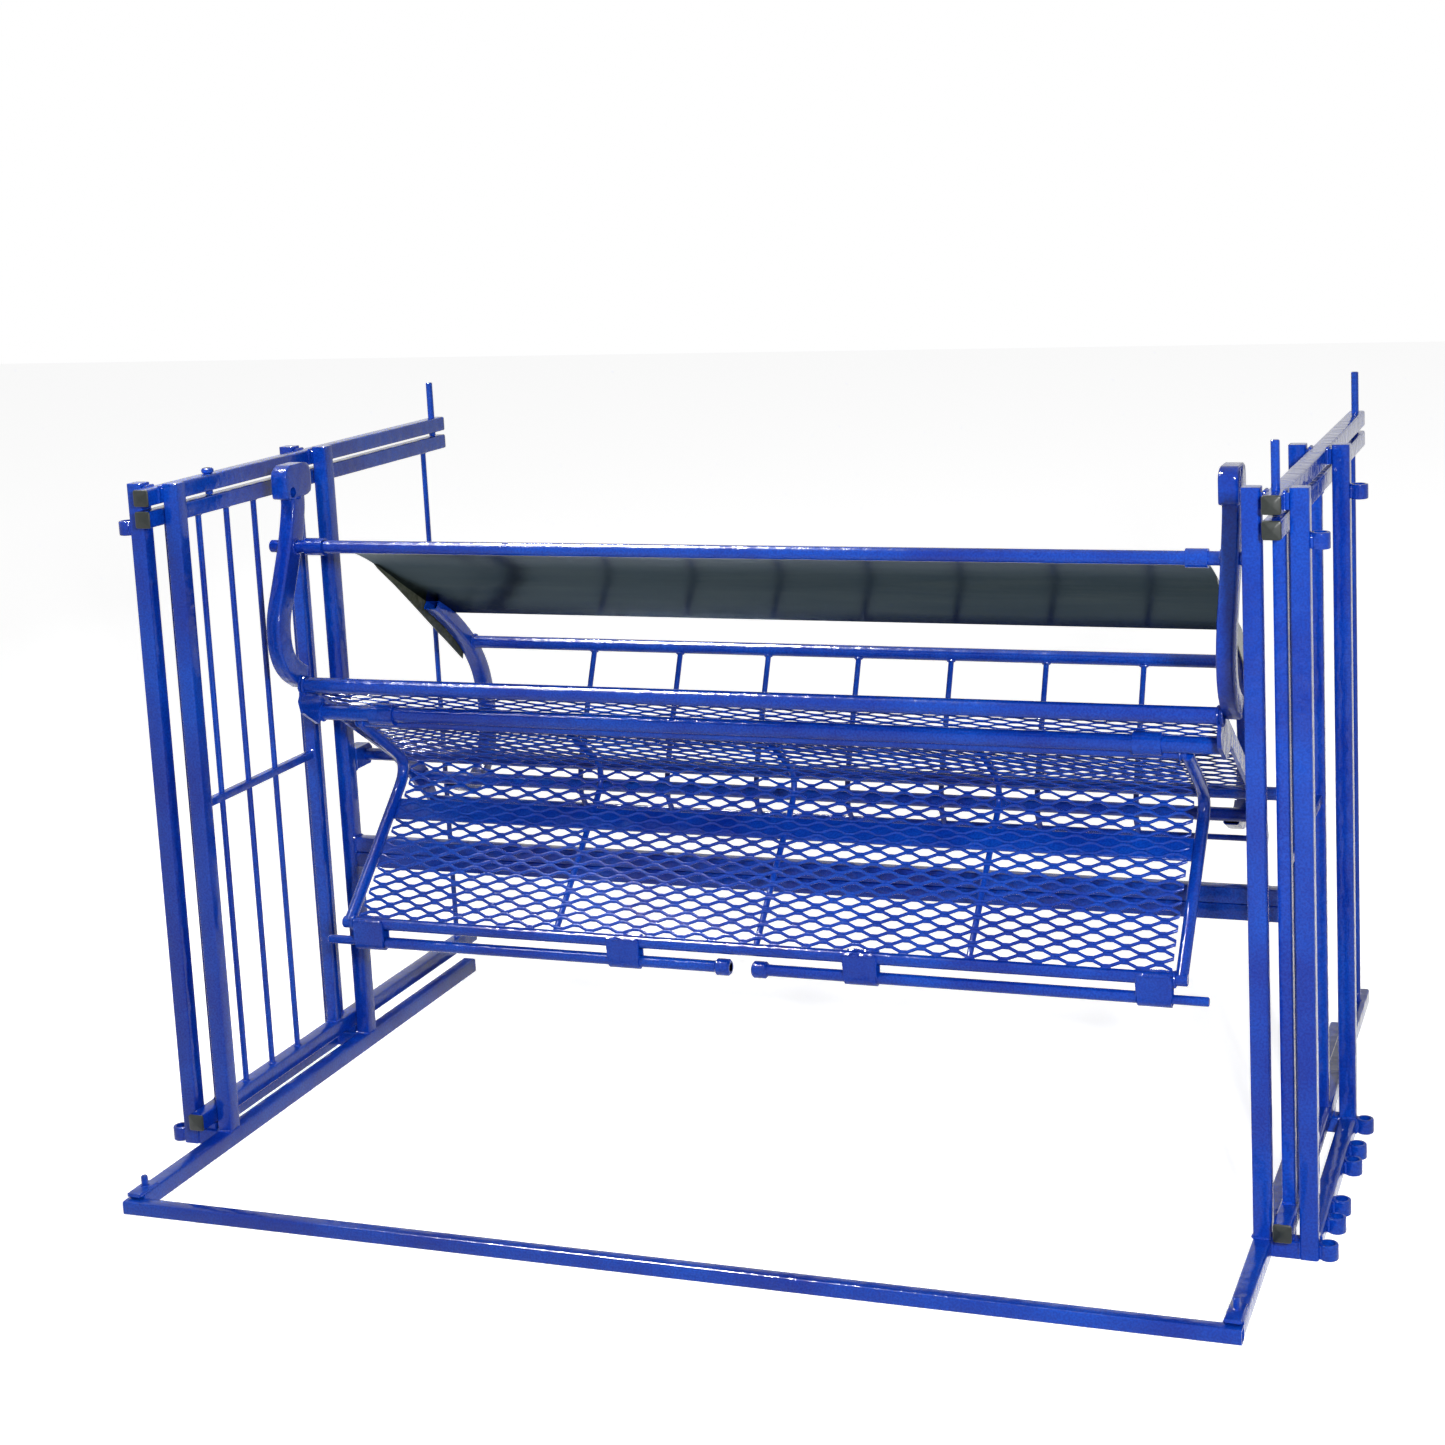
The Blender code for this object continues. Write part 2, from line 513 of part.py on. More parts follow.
sheet_path = [(FRONT_TUBE[0] + BARREL_R + 2 * GAP, FRONT_TUBE[1] - 0.0020), (0.5300, 0.9110), (0.5650, 0.9005),
              (0.6000, 0.8870), (0.6400, 0.8680), (0.6800, 0.8450), (0.7200, 0.8210), (0.7600, 0.7980),
              (0.8030, 0.7735), SHEET_END]
bow_path = [(0.7600, 0.7985), (0.8270, 0.7560), (0.8800, 0.7170), (0.9256, 0.6760), (0.9490, 0.6450),
            (0.9640, 0.6150), (0.9740, 0.5800), (0.9790, 0.5400), (0.9770, 0.5000), (0.9650, 0.4650),
            (0.9420, 0.4360), (0.9120, 0.4220), (0.8800, 0.4240)]
into = (Vector(bow_path[-1]) - Vector(REAR_TUBE)).normalized()
bow_path.append((REAR_TUBE[0] + into.x * (REAR_TUBE_R + 2 * GAP), REAR_TUBE[1] + into.y * (REAR_TUBE_R + 2 * GAP)))
under = offset_path(sheet_path[3:], -(SHEET_T / 2 + 2 * GAP))
past = (Vector(under[-1]) - Vector(under[-2])).normalized() * 3 * GAP
under.append((under[-1][0] + past.x, under[-1][1] + past.y))
for side, s in SIDES:
    bow = sweep("bow_" + side, [(s * BOW_X, y, z) for y, z in bow_path], square(BOW_W),
                square(BOW_W - 2 * TUBE_WALL))
    # its upper end is cut to lie flat under the sheet
    cut(bow, [plate("c", under + [(under[-1][0] + 0.030, under[-1][1] + 0.060), (under[0][0], under[0][1] + 0.060)],
                    s * (BOW_X - BOW_W), s * (BOW_X + BOW_W))])

# squeeze side: galvanised sheet hinged on the front tube by two barrels, resting on the bows
sheet = band("squeeze_sheet", sheet_path, SHEET_T, -SHEET_X, SHEET_X, colour=GREY, metallic=0.9, rough=0.3)
# its ends are turned down over the outside of the bows
flange = sheet_path[4:] + [(0.9000, 0.7080), (0.9350, 0.6660), (0.9270, 0.6430), (0.8690, 0.6890), (0.8290, 0.7200),
                           (0.7700, 0.7670), (0.7086, 0.8150), (0.6550, 0.8540)]
join(sheet, [plate("fl", flange, s * (SHEET_X - SHEET_T), s * SHEET_X) for _, s in SIDES])
for side, s in SIDES:
    xc = s * (CAGE_X + 0.0030 + BARREL_L / 2)
    rod("squeeze_barrel_" + side, (xc - BARREL_L / 2, *FRONT_TUBE), (xc + BARREL_L / 2, *FRONT_TUBE), BARREL_R, 24,
        FRONT_TUBE_R + 0.0003)

# ---------------------------------------------------------------- floor panel
floor_path = [FLOOR_START, (0.5900, 0.5770), (0.6300, 0.5480), (0.6430, 0.5360), (0.6480, 0.5220),
              (0.6450, 0.5070), (0.6360, 0.4940), (0.5900, 0.4520), FLOOR_EDGE]


side_x = CAGE_X - FLOOR_SIDE_R
frame = rod("floor_frame", (-CAGE_X, *FLOOR_EDGE), (CAGE_X, *FLOOR_EDGE), FLOOR_EDGE_R, 12)
pieces = [rod("tt", (-side_x, *FLOOR_START), (side_x, *FLOOR_START), FLOOR_TUBE_R, 10)]
for side, s in SIDES:
    pieces.append(sweep("sd", [(s * side_x, y, z) for y, z in floor_path], circle(FLOOR_SIDE_R, 10)))
leg = Vector((FLOOR_EDGE[0] - 0.5900, FLOOR_EDGE[1] - 0.4520)).normalized()
leg_n = Vector((-leg.y, leg.x))             # points to the back of the hanging leg
mid = Vector(FLOOR_EDGE) - leg * FLOOR_MID_UP
c = mid - leg_n * (MESH_T / 2 + FLOOR_MID_T / 2 + GAP)
ends = [c - leg * FLOOR_MID_W / 2 - leg_n * FLOOR_MID_T / 2, c + leg * FLOOR_MID_W / 2 - leg_n * FLOOR_MID_T / 2,
        c + leg * FLOOR_MID_W / 2 + leg_n * FLOOR_MID_T / 2, c - leg * FLOOR_MID_W / 2 + leg_n * FLOOR_MID_T / 2]
pieces.append(plate("mb", [tuple(e) for e in ends], -side_x, side_x))
back = 1.0 if leg_n.x > 0 else -1.0
rib_line = offset_path(floor_path, back * (MESH_T / 2 + FLOOR_RIB_R + GAP))
for x in FLOOR_RIBS_X:
    pieces.append(sweep("rb", [(x, y, z) for y, z in rib_line], circle(FLOOR_RIB_R, 8)))
join(frame, pieces)
barrels = []
for side, s in SIDES:
    xc = s * FLOOR_BARREL_X
    barrels.append(rod("br", (xc - FLOOR_BARREL_L / 2, *HINGE_TUBE), (xc + FLOOR_BARREL_L / 2, *HINGE_TUBE),
                       FLOOR_BARREL_R, 24, FLOOR_BARREL_BORE))
bolt_y, bolt_z = FLOOR_EDGE[0], FLOOR_EDGE[1] - BOLT_DROP
half_u = FLOOR_EDGE_R - 0.0006 + CLIP_T / 2      # strap's middle, let into the edge tube's sides
low = bolt_z - BOLT_R - CLIP_GAP - CLIP_T / 2
clip_path = [(bolt_y - half_u, FLOOR_EDGE[1] + 0.004), (bolt_y - half_u, bolt_z - 0.002),
             (bolt_y - half_u * 0.75, low + 0.0035), (bolt_y - half_u * 0.35, low + 0.0004),
             (bolt_y + half_u * 0.35, low + 0.0004), (bolt_y + half_u * 0.75, low + 0.0035),
             (bolt_y + half_u, bolt_z - 0.002), (bolt_y + half_u, FLOOR_EDGE[1] + 0.004)]
clips = []
for side, s in SIDES:
    for cx in CLIP_X:
        clips.append(band("cl", clip_path, CLIP_T, s * cx - CLIP_W / 2, s * cx + CLIP_W / 2))
join(frame, barrels + clips)

mesh_path = [floor_path[0]] + floor_path[1:-1] + [floor_path[-1]]
d0 = Vector((floor_path[1][0] - floor_path[0][0], floor_path[1][1] - floor_path[0][1])).normalized()
d1 = Vector((floor_path[-2][0] - floor_path[-1][0], floor_path[-2][1] - floor_path[-1][1])).normalized()
mesh_path[0] = (floor_path[0][0] + d0.x * (FLOOR_TUBE_R + 2 * GAP), floor_path[0][1] + d0.y * (FLOOR_TUBE_R + 2 * GAP))
mesh_path[-1] = (floor_path[-1][0] + d1.x * (FLOOR_EDGE_R + 2 * GAP), floor_path[-1][1] + d1.y * (FLOOR_EDGE_R + 2 * GAP))
mesh_in = side_x - FLOOR_SIDE_R - GAP
band("floor_mesh", mesh_path, MESH_T, -mesh_in, mesh_in)

for side, s in SIDES:
    body = rod("floor_bolt_" + side, (s * BOLT_KNOB_X, bolt_y, bolt_z), (s * BOLT_TIP_X, bolt_y, bolt_z), BOLT_R, 12)
    join(body, [rod("k", (s * BOLT_KNOB_X - 0.002 * s, bolt_y, bolt_z),
                    (s * (BOLT_KNOB_X + BOLT_KNOB_L), bolt_y, bolt_z), BOLT_KNOB_R, 12)])

# the origin at the middle of the footprint
for ob in bpy.data.objects:
    ob.data.transform(Matrix.Translation((0.0, -RAIL_REAR_Y / 2, 0.0)))
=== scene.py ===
import bmesh
import bpy
import numpy as np
from mathutils import Matrix, Vector


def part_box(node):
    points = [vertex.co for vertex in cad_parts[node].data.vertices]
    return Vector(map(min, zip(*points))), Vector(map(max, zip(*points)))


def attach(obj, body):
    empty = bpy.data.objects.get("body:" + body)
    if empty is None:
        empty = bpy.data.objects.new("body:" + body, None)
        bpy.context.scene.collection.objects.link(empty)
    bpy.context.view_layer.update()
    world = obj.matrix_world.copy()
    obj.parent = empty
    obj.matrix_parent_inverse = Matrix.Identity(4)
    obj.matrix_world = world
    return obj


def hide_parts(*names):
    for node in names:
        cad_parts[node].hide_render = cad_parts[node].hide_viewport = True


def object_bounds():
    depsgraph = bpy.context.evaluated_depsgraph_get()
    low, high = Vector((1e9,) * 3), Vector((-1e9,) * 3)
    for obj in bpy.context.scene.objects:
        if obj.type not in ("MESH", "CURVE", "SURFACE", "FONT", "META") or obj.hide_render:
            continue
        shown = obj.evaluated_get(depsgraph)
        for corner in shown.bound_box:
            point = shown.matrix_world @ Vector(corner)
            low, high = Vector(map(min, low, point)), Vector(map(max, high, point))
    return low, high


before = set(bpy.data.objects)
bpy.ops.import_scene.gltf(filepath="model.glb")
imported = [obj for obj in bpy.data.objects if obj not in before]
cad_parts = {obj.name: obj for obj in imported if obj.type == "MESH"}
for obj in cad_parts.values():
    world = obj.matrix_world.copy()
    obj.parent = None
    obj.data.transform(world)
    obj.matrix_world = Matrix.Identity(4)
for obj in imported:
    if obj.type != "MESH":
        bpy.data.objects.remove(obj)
cad_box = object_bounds()

# ---------------- where it stands
# The crate stands on a plain white studio floor that runs out of sight. The view is from the operator's
# right, from head height, with a medium lens, and the camera is level from side to side but for a hair.
VIEW_FROM = Vector((1.3028, -3.3987, 1.5043))
VIEW_AXIS = Vector((-0.32011, 0.93452, -0.15557))
VIEW_RIGHT = Vector((0.94734, 0.31734, -0.04299))
LENS_MM = 59.83
SHIFT = (-0.0810, -0.1331)

lens = bpy.data.cameras.new("operator_view")
lens.lens = LENS_MM
lens.sensor_width = 36.0
lens.shift_x, lens.shift_y = SHIFT
lens.clip_end = 60.0
camera = bpy.data.objects.new("operator_view", lens)
bpy.context.scene.collection.objects.link(camera)
back = -VIEW_AXIS.normalized()
right = (VIEW_RIGHT - back * VIEW_RIGHT.dot(back)).normalized()
turned_to_view = Matrix((right, back.cross(right), back)).transposed().to_4x4()
camera.matrix_world = Matrix.Translation(VIEW_FROM) @ turned_to_view
bpy.context.scene.camera = camera
bpy.context.scene.view_settings.view_transform = "Standard"


def linear(hex_colour, alpha=1.0):
    """An sRGB hex colour as the linear RGBA that shaders take: the sRGB curve undone, channel by channel."""
    srgb = np.array([int(hex_colour[i:i + 2], 16) for i in (0, 2, 4)]) / 255.0
    return (*np.where(srgb <= 0.04045, srgb / 12.92, ((srgb + 0.055) / 1.055) ** 2.4), alpha)


def node(tree, kind, settings=None, **links):
    """A new shader node. settings are its properties, or its sockets' values where a key is a socket's name;
    links join its inputs, with _ for a space, to other nodes' outputs."""
    made = tree.nodes.new(kind)
    for key, value in (settings or {}).items():
        if key in made.inputs:
            made.inputs[key].default_value = value
        else:
            setattr(made, key, value)
    for key, output in links.items():
        tree.links.new(output, made.inputs[key.replace("_", " ")])
    return made


def blank_material(name):
    """An empty node material, its tree and its output node."""
    made = bpy.data.materials.new(name)
    made.use_nodes = True
    made.node_tree.nodes.clear()
    return made, made.node_tree, made.node_tree.nodes.new("ShaderNodeOutputMaterial")


def seen_directly(tree):
    """1 for rays that show the background: from the camera, or off or through something shiny."""
    path = node(tree, "ShaderNodeLightPath")
    either = node(tree, "ShaderNodeMath", {"operation": "MAXIMUM"})
    tree.links.new(path.outputs["Is Camera Ray"], either.inputs[0])
    tree.links.new(path.outputs["Is Glossy Ray"], either.inputs[1])
    any_of = node(tree, "ShaderNodeMath", {"operation": "MAXIMUM"})
    tree.links.new(either.outputs[0], any_of.inputs[0])
    tree.links.new(path.outputs["Is Transmission Ray"], any_of.inputs[1])
    return any_of.outputs[0]


FLOOR_HALF = 14.0
FLOOR_BELOW = 0.0005    # so that it is never level with the feet's undersides
PAPER_LIFT = 0.86       # white that the sweep adds where it is seen directly
floor_corners = [(-FLOOR_HALF, -FLOOR_HALF, 0), (FLOOR_HALF, -FLOOR_HALF, 0),
                 (FLOOR_HALF, FLOOR_HALF, 0), (-FLOOR_HALF, FLOOR_HALF, 0)]
floor_mesh = bpy.data.meshes.new("studio_floor")
floor_mesh.from_pydata(floor_corners, [], [(0, 1, 2, 3)])
studio_floor = bpy.data.objects.new("studio_floor", floor_mesh)
bpy.context.scene.collection.objects.link(studio_floor)
studio_floor.location.z = -FLOOR_BELOW
paper, tree, out = blank_material("white_paper_sweep")
matt = node(tree, "ShaderNodeBsdfDiffuse", {"Color": linear("DCDCDC"), "Roughness": 0.9})
glow = node(tree, "ShaderNodeEmission", {"Color": linear("FFFFFF")})
lift = node(tree, "ShaderNodeMath", {"operation": "MULTIPLY"})
tree.links.new(seen_directly(tree), lift.inputs[0])
lift.inputs[1].default_value = PAPER_LIFT
tree.links.new(lift.outputs[0], glow.inputs["Strength"])
both = node(tree, "ShaderNodeAddShader")
tree.links.new(matt.outputs[0], both.inputs[0])
tree.links.new(glow.outputs[0], both.inputs[1])
tree.links.new(both.outputs[0], out.inputs["Surface"])
floor_mesh.materials.append(paper)

world = bpy.data.worlds.new("white_studio")
world.use_nodes = True
tree = world.node_tree
tree.nodes.clear()
sky = node(tree, "ShaderNodeBackground", {"Color": linear("FFFFFF")})
level = node(tree, "ShaderNodeMapRange", {"To Min": 0.10, "To Max": 1.0}, Value=seen_directly(tree))
tree.links.new(level.outputs[0], sky.inputs["Strength"])
tree.links.new(sky.outputs[0], node(tree, "ShaderNodeOutputWorld").inputs["Surface"])
bpy.context.scene.world = world


def soft_box(name, place, aim, size, watts):
    """An oblong studio lamp of that size (width, height) at place, facing aim."""
    lamp = bpy.data.lights.new(name, "AREA")
    lamp.shape = "RECTANGLE"
    lamp.size, lamp.size_y = size
    lamp.energy = watts
    made = bpy.data.objects.new(name, lamp)
    bpy.context.scene.collection.objects.link(made)
    made.location = place
    made.rotation_euler = (Vector(aim) - Vector(place)).to_track_quat("-Z", "Y").to_euler()
    return made


soft_box("key_beside_the_view", (1.75, -3.2, 1.75), (0.1, 0.0, 0.5), (0.30, 0.30), 96.0)
strip = soft_box("long_overhead_strip", (-1.3, 0.1, 3.2), (-0.1, 0.05, 0.7), (1.10, 0.45), 1000.0)
strip.visible_diffuse = False       # it only draws the long glints on the tubes' upper sides
soft_box("high_left_window", (-1.42, -0.9, 2.6), (-0.3, 0.0, 0.7), (0.75, 0.36), 24.0)

# ---------------- royal blue enamel
# Gloss alkyd enamel sprayed in one coat on bare steel tube. Its film is uneven: fine orange peel and long
# shallow sags break every highlight into dashes, and thin places let the blue go a little darker.
PEEL_MM = 5.0           # from crest to crest of the orange peel
SAG_MM = 24.0           # from crest to crest of the sags
SHADE_MM = 160.0        # from thick to thin places of the coat

blue_enamel, tree, out = blank_material("gloss_blue_enamel")
where = node(tree, "ShaderNodeTexCoord").outputs["Object"]
shade = node(tree, "ShaderNodeTexNoise", {"Scale": 1000 / SHADE_MM, "Detail": 3.0}, Vector=where)
grain = node(tree, "ShaderNodeTexNoise", {"Scale": 1000 / 3.2, "Detail": 2.0}, Vector=where)
tint = node(tree, "ShaderNodeValToRGB", Fac=shade.outputs["Fac"])
tint.color_ramp.elements[0].position, tint.color_ramp.elements[0].color = 0.36, linear("0A38AC")
tint.color_ramp.elements[1].position, tint.color_ramp.elements[1].color = 0.64, linear("0C50C8")
speck = node(tree, "ShaderNodeValToRGB", Fac=grain.outputs["Fac"])
speck.color_ramp.elements[0].position, speck.color_ramp.elements[0].color = 0.38, linear("D4D8E4")
speck.color_ramp.elements[1].position, speck.color_ramp.elements[1].color = 0.60, linear("FFFFFF")
coat = node(tree, "ShaderNodeMix", {"data_type": "RGBA", "blend_type": "MULTIPLY"})
coat.inputs["Factor"].default_value = 1.0
tree.links.new(tint.outputs["Color"], coat.inputs["A"])
tree.links.new(speck.outputs["Color"], coat.inputs["B"])
gloss = node(tree, "ShaderNodeMapRange", {"From Min": 0.3, "From Max": 0.7, "To Min": 0.10, "To Max": 0.20},
             Value=shade.outputs["Fac"])
sag = node(tree, "ShaderNodeTexNoise", {"Scale": 1000 / SAG_MM, "Detail": 1.0}, Vector=where)
peel = node(tree, "ShaderNodeTexNoise", {"Scale": 1000 / PEEL_MM, "Detail": 2.0}, Vector=where)
sagged = node(tree, "ShaderNodeBump", {"Strength": 0.75, "Distance": 0.0020}, Height=sag.outputs["Fac"])
peeled = node(tree, "ShaderNodeBump", {"Strength": 0.6, "Distance": 0.0005}, Height=peel.outputs["Fac"],
              Normal=sagged.outputs["Normal"])
enamel = node(tree, "ShaderNodeBsdfPrincipled", {"IOR": 1.5, "Specular IOR Level": 0.30},
              Roughness=gloss.outputs[0], Normal=peeled.outputs["Normal"])
tree.links.new(coat.outputs["Result"], enamel.inputs["Base Color"])
tree.links.new(enamel.outputs[0], out.inputs["Surface"])

# ---------------- base frame
# Three lengths of square steel tube welded into a U on the ground: a light front bar between two side
# rails. Each rail carries a small welded plate with an upright pin, where a ramp or gate hooks on.
CORNER_R = 0.0030       # outer corner radius of drawn square tube
TUBE_WALL = 0.0021
CORNER_STEPS = 3
SOFT_END = 0.0008       # rounding of a sawn and deburred end
PLATE_T = 0.0040        # corner plates
HOOK_PIN_R = 0.0050


def rounded_square(width, height, radius=CORNER_R, steps=CORNER_STEPS):
    """Outline of a square tube: four quarter circles of that radius, set in from the corners and joined
    straight."""
    turn = np.linspace(0, np.pi / 2, steps + 1)
    corners = []
    for quarter, (su, sv) in enumerate(((1, 1), (-1, 1), (-1, -1), (1, -1))):
        angle = turn + quarter * np.pi / 2
        corners.append(np.stack([su * (width / 2 - radius) + radius * np.cos(angle),
                                 sv * (height / 2 - radius) + radius * np.sin(angle)], axis=1))
    return np.concatenate(corners)


def circle(radius, steps=20):
    """Outline of a round bar: points at equal angles."""
    angle = np.arange(steps) * 2 * np.pi / steps
    return radius * np.stack([np.cos(angle), np.sin(angle)], axis=1)


def unit(vectors):
    """Each vector divided by its own length."""
    return vectors / np.linalg.norm(vectors, axis=-1, keepdims=True)


def along(path, outline, across=(1, 0, 0), scale=None, loop=False):
    """A profile carried along a path: point + across * u + (tangent x across) * v for every path point and
    every outline point (u, v). scale widens or narrows the outline at each path point."""
    path = np.asarray(path, float)
    if loop:
        tangent = unit(np.roll(path, -1, 0) - np.roll(path, 1, 0))
    else:
        tangent = unit(np.gradient(path, axis=0))
    side = np.asarray(across, float) - tangent * (tangent @ np.asarray(across, float))[:, None]
    side = unit(side)
    other = np.cross(tangent, side)
    scale = np.ones(len(path)) if scale is None else np.asarray(scale)
    flat = outline[None] * scale[:, None, None]
    return path[:, None] + side[:, None] * flat[..., :1] + other[:, None] * flat[..., 1:]


def grid_faces(rows, columns, wrap_rows=False, wrap_columns=True):
    """Quads of a rows x columns grid of points, closed on itself in one or both directions."""
    r = np.arange(rows if wrap_rows else rows - 1)[:, None]
    c = np.arange(columns if wrap_columns else columns - 1)[None]
    r1, c1 = (r + 1) % rows, (c + 1) % columns
    corners = (r * columns + c, r * columns + c1, r1 * columns + c1, r1 * columns + c)
    return np.stack(np.broadcast_arrays(*corners), -1).reshape(-1, 4).tolist()


def end_faces(rows, columns):
    """The two polygons that close the first and the last row of such a grid."""
    return [list(range(columns))[::-1], list(range((rows - 1) * columns, rows * columns))]


def bar(path, outline, across=(1, 0, 0), soft=SOFT_END):
    """A solid bar along a path, its ends softened: the outline shrinks by soft over the last soft of
    length."""
    path = np.asarray(path, float)
    step_in = unit(path[1] - path[0]) * soft
    step_out = unit(path[-1] - path[-2]) * soft
    path = np.concatenate([path[:1], path[:1] + step_in, path[1:-1], path[-1:] - step_out, path[-1:]])
    scale = np.ones(len(path))
    scale[[0, -1]] = 1 - soft / np.abs(outline).max()
    points = along(path, outline, across, scale)
    return points.reshape(-1, 3), grid_faces(*points.shape[:2]) + end_faces(*points.shape[:2])


def upright(x, y, foot, head, radius, steps=20, soft=SOFT_END):
    """An upright round bar at (x, y) from foot to head."""
    return bar([(x, y, foot), (x, y, head)], circle(radius, steps), soft=soft)


def crossbar(x_low, x_high, place, radius, steps=24, soft=SOFT_END):
    """A round bar along X at place, a (y, z)."""
    return bar([(x_low, *place), (x_high, *place)], circle(radius, steps), (0, 1, 0), soft)


def pipe(path, outline, bore, across=(1, 0, 0)):
    """A tube with open ends: out along the outer outline and back along the bore, closed on itself."""
    outer, inner = along(path, outline, across), along(path, bore, across)
    points = np.concatenate([outer, inner[::-1]])
    return points.reshape(-1, 3), grid_faces(*points.shape[:2], wrap_rows=True)


def bead(path, radius=0.0021, across=(0, 0, 1), loop=True, ripple_mm=3.4):
    """A run of weld: a round bar along the joint whose radius swells and shrinks once for each ripple."""
    path = np.asarray(path, float)
    ends = np.roll(path, -1, 0) if loop else path[1:]
    lengths = np.linalg.norm(ends - path[:len(ends)], axis=1)
    travel = np.concatenate([[0], np.cumsum(lengths)])
    total = travel[-1]
    count = max(int(total / 0.0017), 6)
    walk = np.linspace(0, total, count, endpoint=not loop)
    source = np.concatenate([path, path[:1]]) if loop else path
    line = np.stack([np.interp(walk, travel, source[:, k]) for k in range(3)], axis=1)
    swell = 1 + 0.16 * np.sin(walk * 2000 * np.pi / ripple_mm) + 0.14 * np.sin(walk * 311 + total * 9000)
    points = along(line, circle(radius, 7), across, swell, loop)
    faces = grid_faces(*points.shape[:2], wrap_rows=loop)
    return points.reshape(-1, 3), faces if loop else faces + end_faces(*points.shape[:2])


def weld_run(path, radius, across):
    """A run of weld with two ends."""
    return bead(path, radius, across, loop=False)


def level_ring(x, y, z, radius, steps=12):
    """The joint round an upright round bar."""
    return np.c_[circle(radius, steps) + (x, y), np.full(steps, z)]


def upright_ring(x, place, radius, steps=24):
    """The joint round a tube along X that stands at place, a (y, z), where it meets a face at x."""
    return np.c_[np.full(steps, x), circle(radius, steps) + place]


def made_of(name, body, finish, shells, stands_for=(), sharp_deg=38):
    """One object from closed shells, shaded smooth but for edges sharper than sharp_deg. It rides on body and
    stands for those nodes of the frame."""
    points, faces, start = [], [], 0
    for shell_points, shell_faces in shells:
        points.append(np.asarray(shell_points))
        faces += [[start + i for i in face] for face in shell_faces]
        start += len(shell_points)
    mesh = bpy.data.meshes.new(name)
    mesh.from_pydata(np.concatenate(points).tolist(), [], faces)
    mesh.validate()
    # a profile swept the other way round would be inside out, so every shell is turned to face outwards
    outward = bmesh.new()
    outward.from_mesh(mesh)
    bmesh.ops.recalc_face_normals(outward, faces=outward.faces)
    outward.to_mesh(mesh)
    outward.free()
    mesh.shade_smooth()
    mesh.set_sharp_from_angle(angle=np.radians(sharp_deg))
    mesh.materials.append(finish)
    made = bpy.data.objects.new(name, mesh)
    bpy.context.scene.collection.objects.link(made)
    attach(made, body)
    if stands_for:
        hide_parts(*stands_for)
    return made


def span(name):
    """Lowest and highest corner, middle and size of a node of the frame, as arrays."""
    low, high = (np.array(corner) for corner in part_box(name))
    return low, high, (low + high) / 2, high - low


def drawn_tube(low, high, axis, hollow=True, radius=CORNER_R):
    """Square tube that fills the box from low to high and runs along that axis (0, 1 or 2)."""
    middle = (low + high) / 2
    ends = np.array([middle, middle])
    ends[0, axis], ends[1, axis] = low[axis], high[axis]
    across = np.eye(3)[(axis + 1) % 3]
    width, height = (high - low)[(axis + 1) % 3], (high - low)[(axis + 2) % 3]
    outline = rounded_square(width, height, radius)
    if not hollow:
        return bar(ends, outline, across)
    bore = rounded_square(width - 2 * TUBE_WALL, height - 2 * TUBE_WALL, 0.0012)
    return pipe(ends, outline, bore, across)


def square_loop(middle, width, depth, radius=CORNER_R):
    """The joint round an upright square tube: its outline, level, at middle."""
    outline = rounded_square(width, depth, radius)
    return np.concatenate([outline, np.zeros((len(outline), 1))], axis=1) + middle


SIDES = (("left", -1.0), ("right", 1.0))
TUBE = span("post_front_left_inner")[3][0]
frame_welds = []
low, high, middle, size = span("base_front_bar")
shells = [drawn_tube(low, high, 0)]
bar_top = 0.0205
for side, s in SIDES:
    low, high, middle, size = span("base_rail_" + side)
    shells.append(drawn_tube(low, high, 1))
    # the bar's end is welded to the rail's front face along its top and its inner side
    inner_x = middle[0] - s * size[0] / 2
    corner = [(inner_x, low[1], 0.003), (inner_x, low[1], bar_top), (middle[0] + s * 0.012, low[1], bar_top)]
    frame_welds.append(weld_run(corner, 0.0022, (0, 1, 0)))
made_of("base_frame_tubes", "frame", blue_enamel, shells,
        ["base_front_bar", "base_rail_left", "base_rail_right"])
for side, s in SIDES:
    low, high, middle, size = span("corner_pin_" + side)
    plate_top = low[2] + PLATE_T
    pin_y = middle[1] + 0.006
    shells = [drawn_tube(low, np.array([high[0], high[1], plate_top]), 1, hollow=False, radius=0.0015),
              upright(middle[0], pin_y, low[2], high[2], HOOK_PIN_R, soft=0.0014)]
    made_of("hook_pin_" + side, "frame", blue_enamel, shells, ["corner_pin_" + side])
    plate_edge = square_loop((middle[0], middle[1], low[2]), size[0] - 0.001, size[1] - 0.001)
    frame_welds.append(bead(plate_edge, 0.0018))
    frame_welds.append(bead(level_ring(middle[0], pin_y, plate_top, HOOK_PIN_R + 0.0004), 0.0014))

# ---------------- end posts and connector sleeves
# Each end frame has two pairs of upright square tubes with a slot between them for the gate. Short pieces of
# round tube are welded to the outer faces, head and foot, and take the drop pins of hurdles.
SLEEVE_R = 0.0132
SLEEVE_BORE = 0.0088
SLEEVE_H = 0.0220
SLEEVE_FOOT = 0.0010            # the lower ones, above the ground
SLEEVE_BELOW_TOP = 0.0805       # the upper ones' feet, below the post's top
RAIL_SLEEVES = (0.350, 0.408, 0.545, 0.603)     # along the outer rail, from the front of the crate


